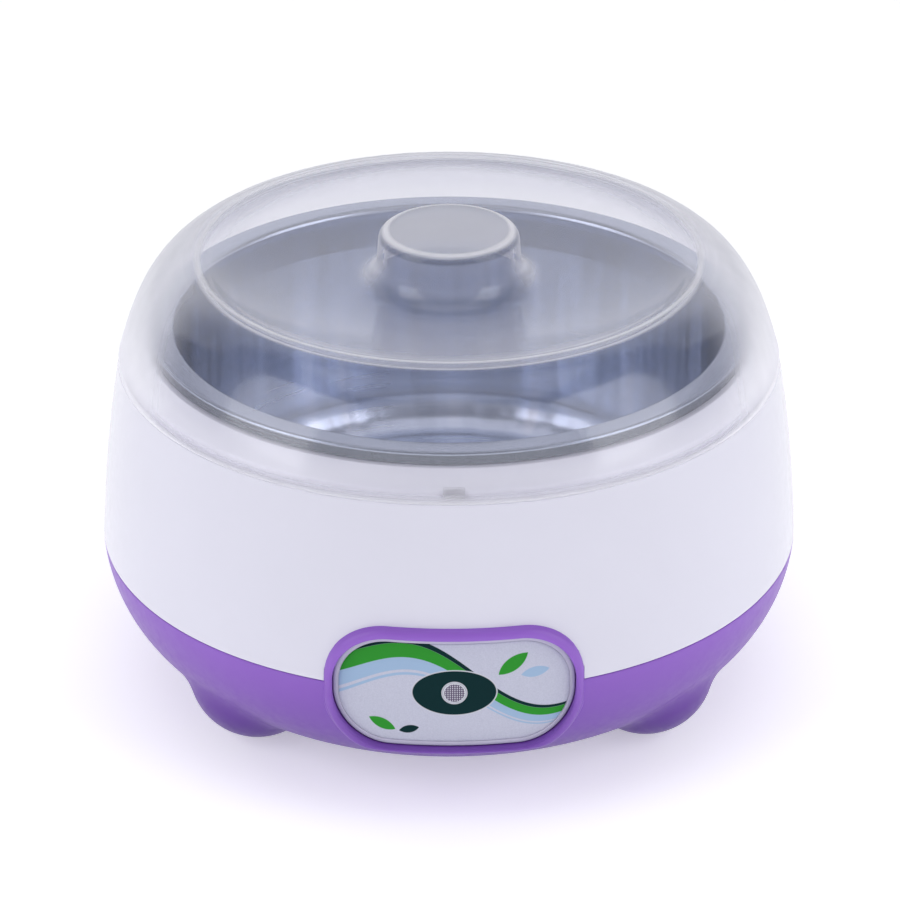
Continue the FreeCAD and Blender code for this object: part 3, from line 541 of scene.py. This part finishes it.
def base_field(p):
    x, y, z = p[:, 0], p[:, 1], p[:, 2]
    r = np.hypot(x, y)
    side = np.where(r > BOWL_R, np.hypot(r - BOWL_R, z - BOWL_Z) - BOWL_RAD, (BOWL_Z - BOWL_RAD) - z)
    d = smax(side, 5.0 - z, 2.5)
    foot = np.sqrt((np.abs(x) - FOOT_X) ** 2 + (np.abs(y) - FOOT_Y) ** 2 + (z - FOOT_Z) ** 2) - FOOT_R
    d = smin(d, foot, 2.2)
    return smax(d, 0.4 - z, 0.8)


def base_mesh():
    segs = 480
    zs = np.linspace(SEAM_Z - 0.42, 9.0, 92)
    prof = [(float(bowl_r(z)), float(z)) for z in zs]
    prof += [(r, 5.0) for r in np.linspace(72.0, 50.0, 64)]
    prof = np.array(prof)
    # even out the spacing where the wall turns into the underside
    seg = np.r_[0, np.cumsum(np.hypot(*np.diff(prof, axis=0).T))]
    s = np.linspace(0, seg[-1], 150)
    prof = np.stack([np.interp(s, seg, prof[:, 0]), np.interp(s, seg, prof[:, 1])], 1)
    ang = np.arange(segs) * 2 * math.pi / segs
    R, A = np.repeat(prof[:, 0], segs), np.tile(ang, len(prof))
    P = np.stack([R * np.cos(A), R * np.sin(A), np.repeat(prof[:, 1], segs)], 1)
    eye = np.array([0, 0, 130.0])
    way = P - eye
    dist = np.linalg.norm(way, axis=1)
    way /= dist[:, None]
    t = dist + 24.0
    for _ in range(70):
        t = t - np.clip(base_field(eye + way * t[:, None]), -4, 4) * 0.9
    outer = eye + way * t[:, None]
    # the rim at the seam and the round underside edge stay exact
    rim = np.array([(MAX_R - 0.02, SEAM_Z - 0.40), (MAX_R - 0.10, SEAM_Z - 0.16), (MAX_R - 0.35, SEAM_Z - 0.04), (87.8, SEAM_Z - 0.04)])
    inner = [(87.8, SEAM_Z - 0.04)] + [(float(bowl_r(z)) - 2.2, float(z)) for z in np.linspace(36.0, 11.0, 30)] + [(62.0, 7.2), (50.0, 7.2)]

    def ring(r, z):
        return np.stack([r * np.cos(ang), r * np.sin(ang), np.full(segs, z)], 1)

    loops = [panel_pocket(ring(*p), 86.2) for p in rim[2::-1]]
    outer = panel_pocket(outer, 86.2).reshape(len(prof), segs, 3)
    loops += [outer[i] for i in range(1, len(prof))]
    loops[-1] = ring(50.0, 5.0)
    loops += [panel_pocket(ring(*p), 84.2) for p in inner[::-1]]
    return loops_mesh("base_shell_skin", loops, closed=True, sharp=40.0)


base = base_mesh()
assign(base, PURPLE)
piece(base, "base", "purple_base", "base_shell")


# the flat floor of the base, with its air slots
def base_floor():
    cu = bpy.data.curves.new("base_floor", "CURVE")
    cu.dimensions = "2D"
    cu.fill_mode = "BOTH"
    cu.extrude = 1.0 * MM
    cu.bevel_depth = 0.15 * MM
    cu.bevel_resolution = 2

    def spline(pts):
        s = cu.splines.new("POLY")
        s.points.add(len(pts) - 1)
        for p, q in zip(s.points, pts):
            p.co = (q[0] * MM, q[1] * MM, 0, 1)
        s.use_cyclic_u = True

    spline([(49.65 * math.cos(a), 49.65 * math.sin(a)) for a in np.linspace(0, 2 * math.pi, 200, endpoint=False)])
    for k in range(8):
        a = math.radians(22.5 + 45 * k)
        slot = rrect(6.2, 1.45, 1.4, 6, 2, 1) + np.array([42.2, 0])
        ca, sa = math.cos(a), math.sin(a)
        spline([(p[0] * ca - p[1] * sa, p[0] * sa + p[1] * ca) for p in slot])
    tmp = bpy.data.objects.new("base_floor_curve", cu)
    scene.collection.objects.link(tmp)
    bpy.context.view_layer.update()
    me = bpy.data.meshes.new_from_object(tmp.evaluated_get(bpy.context.evaluated_depsgraph_get()))
    bpy.data.objects.remove(tmp)
    me.transform(Matrix.Translation((0, 0, 6.25 * MM)))
    bm = bmesh.new()
    bm.from_mesh(me)
    bmesh.ops.remove_doubles(bm, verts=bm.verts, dist=1e-6)
    bmesh.ops.recalc_face_normals(bm, faces=bm.faces)
    bm.to_mesh(me)
    bm.free()
    me.polygons.foreach_set("use_smooth", [True] * len(me.polygons))
    me.set_sharp_from_angle(angle=math.radians(8))
    ob = bpy.data.objects.new("base_floor_skin", me)
    scene.collection.objects.link(ob)
    return ob


floor_plate = base_floor()
assign(floor_plate, PURPLE)
piece(floor_plate, "base", "purple_base", "base_shell")


# ------------------------------------------------------------------ panel frame
def on_cylinder(xz, rad):
    """Points of the panel's front view placed on an upright cylinder."""
    xz = np.asarray(xz, float)
    rad = np.broadcast_to(np.asarray(rad, float), (len(xz),))
    return np.stack([xz[:, 0], -np.sqrt(np.maximum(rad ** 2 - xz[:, 0] ** 2, 0)), xz[:, 1]], 1)


def frame_ring():
    a, b = rrect(*RING_IN), rrect(*RING_OUT)

    def crest(z):
        lim = 57.0 + 1.615 * np.asarray(z, float)
        return smin(np.full_like(lim, 91.0), lim, 1.2)

    loops = []

    def add(c, drop=None, rad=None):
        xz = a + (b - a) * c
        z = xz[:, 1] + PANEL_Z
        r = crest(z) - drop if rad is None else rad(z)
        loops.append(on_cylinder(np.stack([xz[:, 0], z], 1), r))

    add(0.0, rad=lambda z: np.full_like(z, 86.8))
    add(0.0, 1.25)
    for t in np.linspace(0, math.pi / 2, 7)[1:]:
        add(0.22 * (1 - math.cos(t)), 1.25 * (1 - math.sin(t)))
    add(0.34, 0.0)
    for t in np.linspace(0, math.pi / 2, 9)[1:-1]:
        add(0.34 + 0.62 * math.sin(t), 1.5 * (1 - math.cos(t)))
    # the foot of the frame runs out into the wall, wider where the wall falls away
    for k in np.linspace(0, 1, 9):
        xz0 = a + (b - a) * 1.0
        low = np.clip((SEAM_Z - (xz0[:, 1] + PANEL_Z)) / 14.0, 0, 1)
        end = 1.10 + 0.55 * low * np.clip(np.abs(xz0[:, 0]) / 20.0, 0.35, 1)
        c = 0.985 + (end - 0.985) * k
        xz = a + (b - a) * c[:, None]
        z = xz[:, 1] + PANEL_Z
        top = crest(z) - 1.6
        foot = np.minimum(surface_r(z) - 0.5, crest(z) - 1.2)
        w = k * k * (3 - 2 * k)
        r = top * (1 - w) + foot * w
        loops.append(on_cylinder(np.stack([xz[:, 0], z], 1), r))
    last = loops[-1]
    xz = np.stack([last[:, 0], last[:, 2]], 1)
    loops.append(on_cylinder(xz, np.hypot(last[:, 0], last[:, 1]) - 2.0))
    return loops_mesh("panel_frame_skin", loops, closed=True, sharp=50.0)


ring = frame_ring()
assign(ring, PURPLE)
piece(ring, "base", "purple_base", "base_shell")


# ------------------------------------------------------------------ panel plate
def plate_mesh():
    size = (29.4, 14.95, 13.8)
    loops = []

    def add(inset, rad):
        xz = rrect(size[0] - inset, size[1] - inset, size[2] - inset) + np.array([0, PANEL_Z])
        loops.append(on_cylinder(xz, rad))

    add(0.0, 87.1)
    add(0.0, 88.55)
    for t in np.linspace(0, math.pi / 2, 6)[1:]:
        add(0.45 * (1 - math.cos(t)), 88.55 + 0.45 * math.sin(t))
    add(1.0, 89.0)
    add(1.22, 88.97)
    add(1.30, 88.72)
    base_xz = rrect(size[0] - 1.3, size[1] - 1.3, size[2] - 1.3)
    hole = 2.86 * base_xz / np.hypot(base_xz[:, 0], base_xz[:, 1])[:, None]
    for k in np.linspace(0, 1, 10)[1:]:
        xz = base_xz * (1 - k) + hole * k + np.array([0, PANEL_Z])
        loops.append(on_cylinder(xz, 88.70))
    loops.append(on_cylinder(hole + np.array([0, PANEL_Z]), 87.1))
    return loops_mesh("panel_plate_skin", loops, closed=True, sharp=40.0)


plate = plate_mesh()
assign(plate, PANEL)
piece(plate, "base", "panel_white", "panel_plate")


def label_mesh():
    size = (27.98, 13.53, 12.4)
    outer = rrect(*size)
    loops = [on_cylinder(outer + np.array([0, PANEL_Z]), 88.71), on_cylinder(outer + np.array([0, PANEL_Z]), 88.84)]
    inner = rrect(size[0] - 0.05, size[1] - 0.05, size[2] - 0.05)
    hole = 2.90 * inner / np.hypot(inner[:, 0], inner[:, 1])[:, None]
    for k in np.linspace(0, 1, 30):
        loops.append(on_cylinder(inner * (1 - k) + hole * k + np.array([0, PANEL_Z]), 88.88))
    loops.append(on_cylinder(hole + np.array([0, PANEL_Z]), 88.71))
    return loops_mesh("panel_label_skin", loops, closed=True, sharp=40.0)


def label_print():
    """A silver-white film printed with a plain ribbon and leaf design, and the
    dark oval round the indicator window."""
    m = Mat("label_print")
    x, y, z = m.xyz()
    X = m.math("MULTIPLY", x, 1000.0)
    Z = m.math("MULTIPLY", m.math("SUBTRACT", z, PANEL_Z * MM), 1000.0)
    soft = 0.06

    def inside(d):
        return m.ramp(d, -soft, soft, 1.0, 0.0)

    def both(a, b):
        return m.math("MULTIPLY", a, b)

    def disc(cx, cz, r):
        dx, dz = m.math("SUBTRACT", X, cx), m.math("SUBTRACT", Z, cz)
        return m.math("SUBTRACT", m.math("SQRT", m.math("ADD", both(dx, dx), both(dz, dz))), r)

    def oval(cx, cz, a, b):
        dx, dz = m.math("DIVIDE", m.math("SUBTRACT", X, cx), a), m.math("DIVIDE", m.math("SUBTRACT", Z, cz), b)
        return m.math("MULTIPLY", m.math("SUBTRACT", m.math("SQRT", m.math("ADD", both(dx, dx), both(dz, dz))), 1.0), b)

    def leaf(cx, cz, length, width, turn):
        """A pointed leaf: the overlap of two discs."""
        h, w = length / 2, width / 2
        r = (h * h + w * w) / (2 * w)
        ox, oz = -math.sin(turn) * (r - w), math.cos(turn) * (r - w)
        return m.math("MAXIMUM", disc(cx + ox, cz + oz, r), disc(cx - ox, cz - oz, r))

    # the ribbon's middle line: a lazy wave that falls from the left to the right
    wave = m.math("ADD", m.math("MULTIPLY", m.math("SINE", m.math("ADD", m.math("MULTIPLY", X, 0.105), 2.55)), 6.2), m.math("MULTIPLY", X, -0.13))
    up = m.math("SUBTRACT", Z, wave)
    fade = m.ramp(X, -28.0, 27.0, 1.0, 0.35)

    def band(lo, hi):
        a = m.math("SUBTRACT", both(fade, lo), up)
        b = m.math("SUBTRACT", up, both(fade, hi))
        return inside(m.math("MAXIMUM", a, b))

    grain = m.noise(m.obj(), 2600.0, 2.0)
    film = m.mix(m.ramp(grain, 0.3, 0.7, 0.0, 1.0), (0.49, 0.50, 0.61), (0.55, 0.56, 0.67))
    green, teal, sky = (0.030, 0.275, 0.030), (0.003, 0.024, 0.027), (0.330, 0.460, 0.640)
    col = film
    col = m.mix(band(-1.6, 2.6), col, sky)
    col = m.mix(band(2.6, 7.4), col, green)
    col = m.mix(band(7.4, 9.4), col, teal)
    col = m.mix(band(-3.4, -2.5), col, sky)
    col = m.mix(inside(leaf(14.2, 7.4, 9.0, 3.6, math.radians(38))), col, green)
    col = m.mix(inside(leaf(19.6, 4.6, 7.0, 2.8, math.radians(8))), col, sky)
    col = m.mix(inside(leaf(-17.5, -9.3, 7.0, 2.8, math.radians(-24))), col, green)
    col = m.mix(inside(leaf(-11.0, -10.4, 5.0, 2.1, math.radians(14))), col, teal)
    col = m.mix(inside(oval(0.0, 0.0, 10.45, 6.40)), col, (0.56, 0.57, 0.64))
    col = m.mix(inside(oval(0.0, 0.0, 10.15, 6.10)), col, teal)
    col = m.mix(inside(disc(0.0, 0.0, 3.15)), col, (0.60, 0.61, 0.68))
    m.set(Base_Color=col, IOR=1.46, Specular_IOR_Level=0.06)
    m.set(Roughness=m.ramp(grain, 0.3, 0.7, 0.36, 0.46))
    m.set(Normal=m.bump(m.noise(m.obj(), 3200.0, 2.0), 0.04, 0.00004))
    return m.m


label = label_mesh()
assign(label, label_print())
piece(label, "base", "label_print", "panel_label")


def lens_mesh():
    loops = []
    n = 64
    a = np.arange(n) * 2 * math.pi / n
    for r, y in ((2.8, -86.9), (2.8, -88.82), (2.72, -88.92), (2.45, -88.945), (1.8, -88.95), (1.2, -88.95), (0.6, -88.95)):
        loops.append(np.stack([r * np.cos(a), np.full(n, y), PANEL_Z + r * np.sin(a)], 1))
    return loops_mesh("indicator_lens_skin", loops, closed=False, cap=True, sharp=40.0)


def lens_print():
    """A pale window behind a fine printed mesh."""
    m = Mat("lens_mesh")
    x, y, z = m.xyz()
    X = m.math("MULTIPLY", x, 1000.0)
    Z = m.math("MULTIPLY", m.math("SUBTRACT", z, PANEL_Z * MM), 1000.0)
    pitch = 0.56
    rad = m.math("SQRT", m.math("ADD", m.math("MULTIPLY", X, X), m.math("MULTIPLY", Z, Z)))
    du = m.math("SUBTRACT", m.math("FRACT", m.math("DIVIDE", m.math("ADD", X, 50.0), pitch)), 0.5)
    dv = m.math("SUBTRACT", m.math("FRACT", m.math("DIVIDE", m.math("ADD", Z, 50.0), pitch)), 0.5)
    dot = m.math("SQRT", m.math("ADD", m.math("MULTIPLY", du, du), m.math("MULTIPLY", dv, dv)))
    hole = m.ramp(dot, 0.25, 0.33, 1.0, 0.0)
    col = m.mix(hole, (0.075, 0.055, 0.115), (0.50, 0.49, 0.58))
    col = m.mix(m.ramp(rad, 2.42, 2.50, 0.0, 1.0), col, (0.60, 0.61, 0.68))
    m.set(Base_Color=col, IOR=1.49, Coat_Weight=0.3, Coat_Roughness=0.1)
    m.set(Roughness=m.ramp(m.noise(m.obj(), 900.0), 0.3, 0.7, 0.18, 0.28))
    return m.m


lens = lens_mesh()
assign(lens, lens_print())
piece(lens, "base", "lens_clear", "indicator_lens")


# ------------------------------------------------------------------ feet pads
def pads():
    loop = [(0, 1.5)] + [(4.3, 1.5), (4.4, 1.2)] + rounded([(4.4, 1.2), (4.4, 0.0, 0.35), (3.0, 0.0)], 5)[1:] + [(2.4, 0.0), (2.2, 0.12), (0, 0.12)]
    loop = loop[::-1]
    out = []
    for k, (sx, sy) in enumerate(((1, 1), (-1, 1), (-1, -1), (1, -1))):
        ob = lathe("foot_pad_%d" % (k + 1), loop, 64, closed=False)
        for v in ob.data.vertices:
            v.co.x += sx * FOOT_X * MM
            v.co.y += sy * FOOT_Y * MM
        assign(ob, RUBBER)
        piece(ob, "base", "pad_rubber", "foot_pads")
        out.append(ob)
    return out


pads()

# ------------------------------------------------------------------ inlet block at the back
INLET_Z = 18.0


def inlet_block():
    loops = []

    def add(hw, hh, r, y):
        xz = rrect(hw, hh, r, 9, 10, 6)
        loops.append(np.stack([xz[:, 0], np.full(len(xz), y), xz[:, 1] + INLET_Z], 1))

    add(12.0, 6.8, 2.2, 67.0)
    add(12.0, 6.8, 2.2, 84.1)
    for t in np.linspace(0, math.pi / 2, 6)[1:]:
        k = 0.9 * (1 - math.cos(t))
        add(12.0 - k, 6.8 - k, 2.2 - k * 0.6, 84.1 + 0.9 * math.sin(t))
    add(10.2, 5.5, 1.1, 85.0)
    add(9.95, 5.25, 0.9, 84.75)
    add(9.95, 5.25, 0.9, 67.0)
    return loops_mesh("inlet_block_skin", loops, closed=True, sharp=40.0)


block = inlet_block()
assign(block, PURPLE)
piece(block, "base", "purple_base", "base_shell")


# ------------------------------------------------------------------ liner
def well_loop():
    return rounded([(34.0, 26.0), (73.6, 26.0, 8.0), (73.6, 92.8, 0.4), (71.8, 92.8, 0.4), (71.8, 27.8, 6.2), (34.3, 27.8, 0.3), (34.0, 27.6)], 12)


well = lathe("heating_well_skin", well_loop(), 240)
assign(well, LINER)
piece(well, "base", "liner_white", "heating_well")


# ------------------------------------------------------------------ pot
def pot_loop():
    inner = rounded([(0, 31.0), (70.0, 31.0, 12.0), (70.0, 95.9, 1.5), (76.4, 95.9, 0.7), (76.4, 92.8)], 14)
    outer = rounded([(76.4, 92.8), (75.8, 92.8), (75.8, 95.3, 0.3), (70.6, 95.3, 0.9), (70.6, 30.4, 12.6), (0, 30.4)], 14)
    dense = []
    for p, q in zip(inner, inner[1:]):
        n = max(1, int(np.hypot(q[0] - p[0], q[1] - p[1]) / 3.0))
        dense += [tuple(np.array(p) + (np.array(q) - np.array(p)) * t) for t in np.linspace(0, 1, n, endpoint=False)]
    return (dense + outer)[::-1]


pot = lathe("inner_pot_skin", pot_loop(), 300, closed=False)
assign(pot, STEEL)
piece(pot, "pot", "pot_steel", "inner_pot")


# ------------------------------------------------------------------ cover
def cover_loop():
    side = smooth_chain([(84.4, 86.9), (83.3, 90.6), (82.0, 94.4), (79.9, 99.6), (77.3, 104.3), (74.0, 108.4), (69.8, 111.6), (66.6, 113.0)], 1.1)
    crest = smooth_chain([(66.6, 113.0), (65.0, 113.45), (63.4, 113.5), (61.6, 113.05), (59.6, 112.15)], 0.35)
    dish = smooth_chain([(59.6, 112.15), (55.5, 110.9), (46.0, 108.9), (36.0, 107.4), (28.0, 106.75), (24.6, 106.65)], 1.4)
    foot = arc((24.6, 106.65), (18.3, 111.6), 6.0, -1, 14)
    knob = rounded([(18.3, 111.6), (17.7, 119.98, 2.7), (0, 119.98)], 12)
    outer = side[:-1] + crest[:-1] + dish[:-1] + foot[:-1] + knob[:-1]
    dense = []
    for p, q in zip(outer, outer[1:]):
        n = max(1, int(np.hypot(q[0] - p[0], q[1] - p[1]) / 1.2))
        dense += [tuple(np.array(p) + (np.array(q) - np.array(p)) * t) for t in np.linspace(0, 1, n, endpoint=False)]
    dense.append(outer[-1])
    inner = [(max(p[0], 0.05), p[1]) for p in offset(dense, 1.8)]
    hem = rounded([(inner[0][0], inner[0][1]), (82.6, 86.04, 0.3), (84.40, 86.04, 0.15), (84.4, 86.9)], 6)
    return hem[1:-1] + dense + [(0, 119.98), (0, 118.18)] + inner[::-1]


cover = lathe("outer_cover_skin", cover_loop(), 420, closed=True, sharp=60.0)
assign(cover, CLEAR)
piece(cover, "cover", "clear_cover", "outer_cover")


# the small key inside the hem, at the front
def cover_key():
    loops = []
    for inset, y in ((0.5, -82.55), (0.15, -82.35), (0.0, -82.0), (0.0, -81.7), (0.15, -81.45), (0.5, -81.35)):
        xz = rrect(2.6 - inset, 1.6 - inset, 0.6, 6, 4, 3)
        loops.append(np.stack([xz[:, 0], np.full(len(xz), y), xz[:, 1] + 87.9], 1))
    return loops_mesh("cover_key_skin", loops, closed=False, cap=True)


key = cover_key()
assign(key, KEY)
piece(key, "cover", "clear_cover", "outer_cover")

# ------------------------------------------------------------------ the other pieces keep their shape and get a finish
SKIN = {
    "well_screws": ZINC, "base_screws": ZINC, "clamp_screws": ZINC, "bracket_screws": ZINC,
    "heat_plate": PLATE_AL, "heater_clamp": SPRING, "thermostat_bracket": SPRING,
    "electrodes": BRASS, "inlet_pins": NICKEL, "inlet_socket": BLACK, "thermal_fuse": ZINC,
    "thermostat": plastic("phenolic", (0.045, 0.04, 0.04), rough=(0.4, 0.55), tint=0.3),
    "heat_plate_seal": plastic("silicone", (0.70, 0.70, 0.70), rough=(0.5, 0.65), tint=0.05),
    "ptc_heater": plastic("ptc_ceramic", (0.16, 0.15, 0.15), rough=(0.55, 0.7), grain_strength=0.2, tint=0.25),
    "mica_sheets": plastic("mica", (0.52, 0.43, 0.28), rough=(0.25, 0.5), tint=0.3),
    "fuse_sleeve": plastic("glass_fibre", (0.74, 0.70, 0.60), rough=(0.7, 0.85), grain=2400.0, grain_strength=0.5, tint=0.15),
    "indicator_board": plastic("circuit_board", (0.03, 0.16, 0.05), rough=(0.3, 0.45), tint=0.25),
    "indicator_led": plastic("tinted_epoxy", (0.35, 0.70, 0.32), rough=(0.08, 0.15), tint=0.05),
    "led_resistor": plastic("resistor_lacquer", (0.60, 0.46, 0.26), rough=(0.3, 0.45), tint=0.12),
    "live_wire": plastic("brown_insulation", (0.10, 0.04, 0.02), rough=(0.4, 0.5), tint=0.15),
    "neutral_wire": plastic("blue_insulation", (0.02, 0.07, 0.32), rough=(0.4, 0.5), tint=0.15),
    "heater_wire": plastic("white_insulation", (0.72, 0.72, 0.70), rough=(0.4, 0.5), tint=0.06),
    "led_wires": plastic("red_insulation", (0.34, 0.02, 0.02), rough=(0.4, 0.5), tint=0.15),
    "crimp_caps": plastic("nylon", (0.74, 0.72, 0.64), rough=(0.3, 0.45), tint=0.08),
}
SKIN["fuse_wire"] = SKIN["heater_wire"]
for name, mat in SKIN.items():
    ob = nodes[name]
    ob.data.materials.clear()
    ob.data.materials.append(mat)

# ------------------------------------------------------------------ stage
bpy.ops.mesh.primitive_plane_add(size=12.0, location=(0, 0, -0.0003))
ground = bpy.context.object
ground.name = "studio_floor"
gm = Mat("studio_floor")
gm.set(Roughness=0.9, Specular_IOR_Level=0.1)
gm.set(Base_Color=gm.mix(gm.noise(gm.obj(), 3.0), (0.95, 0.95, 0.95), (0.96, 0.96, 0.96)))
# painted light: the floor glows, more strongly in front of the object than behind it
gm.set(Emission_Color=(1.0, 1.0, 1.0), Emission_Strength=gm.ramp(gm.xyz()[1], 0.0, 0.22, 0.40, 0.22))
assign(ground, gm.m)

world = bpy.data.worlds.new("studio")
scene.world = world
world.use_nodes = True
wt = world.node_tree
bg = wt.nodes["Background"]
wtc = wt.nodes.new("ShaderNodeTexCoord")
wsep = wt.nodes.new("ShaderNodeSeparateXYZ")
wt.links.new(wtc.outputs["Generated"], wsep.inputs[0])
wr = wt.nodes.new("ShaderNodeMapRange")
for i, v in enumerate((0.0, 0.0, 1.0, 0.62, 0.16)):
    if i:
        wr.inputs[i].default_value = v
wt.links.new(wsep.outputs[2], wr.inputs[0])
wt.links.new(wr.outputs[0], bg.inputs["Strength"])
bg.inputs["Color"].default_value = (0.93, 0.94, 1.0, 1)


def softbox(name, loc, aim, size, watts, colour=(1, 1, 1)):
    lamp = bpy.data.lights.new(name, "AREA")
    lamp.shape = "RECTANGLE"
    lamp.size, lamp.size_y = size
    lamp.energy = watts
    lamp.color = colour
    ob = bpy.data.objects.new(name, lamp)
    scene.collection.objects.link(ob)
    ob.location = loc
    ob.rotation_euler = (Vector(aim) - Vector(loc)).to_track_quat("-Z", "Y").to_euler()
    return ob


softbox("softbox_left", (-1.19, -0.55, 0.74), (0, 0, 0.06), (0.9, 1.2), 6.7)
softbox("softbox_right", (1.19, -0.55, 0.74), (0, 0, 0.06), (0.9, 1.2), 6.7)
softbox("back_sweep", (0.0, 1.47, 1.13), (0, 0, 0.10), (5.0, 1.76), 21.0)
softbox("front_fill", (0.0, -2.1, 1.15), (0, 0, 0.06), (3.0, 1.6), 2.0)
softbox("top_panel", (0.0, -0.1, 1.7), (0, 0, 0.0), (1.6, 1.2), 5.0)

scene.view_settings.view_transform = "Standard"
scene.view_settings.look = "None"

# ------------------------------------------------------------------ camera
cam_data = bpy.data.cameras.new("camera")
cam_data.lens = 154.16
cam_data.sensor_width = 36.0
cam_data.sensor_fit = "HORIZONTAL"
cam_data.clip_end = 50.0
cam = bpy.data.objects.new("camera", cam_data)
scene.collection.objects.link(cam)
tilt = math.radians(27.26)
look = Vector((0.00025, 0.0, 0.0573))
turn = math.radians(0.85)
cam.location = look + Vector((-math.sin(turn) * math.cos(tilt), -math.cos(turn) * math.cos(tilt), math.sin(tilt)))
cam.rotation_euler = (look - cam.location).to_track_quat("-Z", "Y").to_euler()
scene.camera = cam
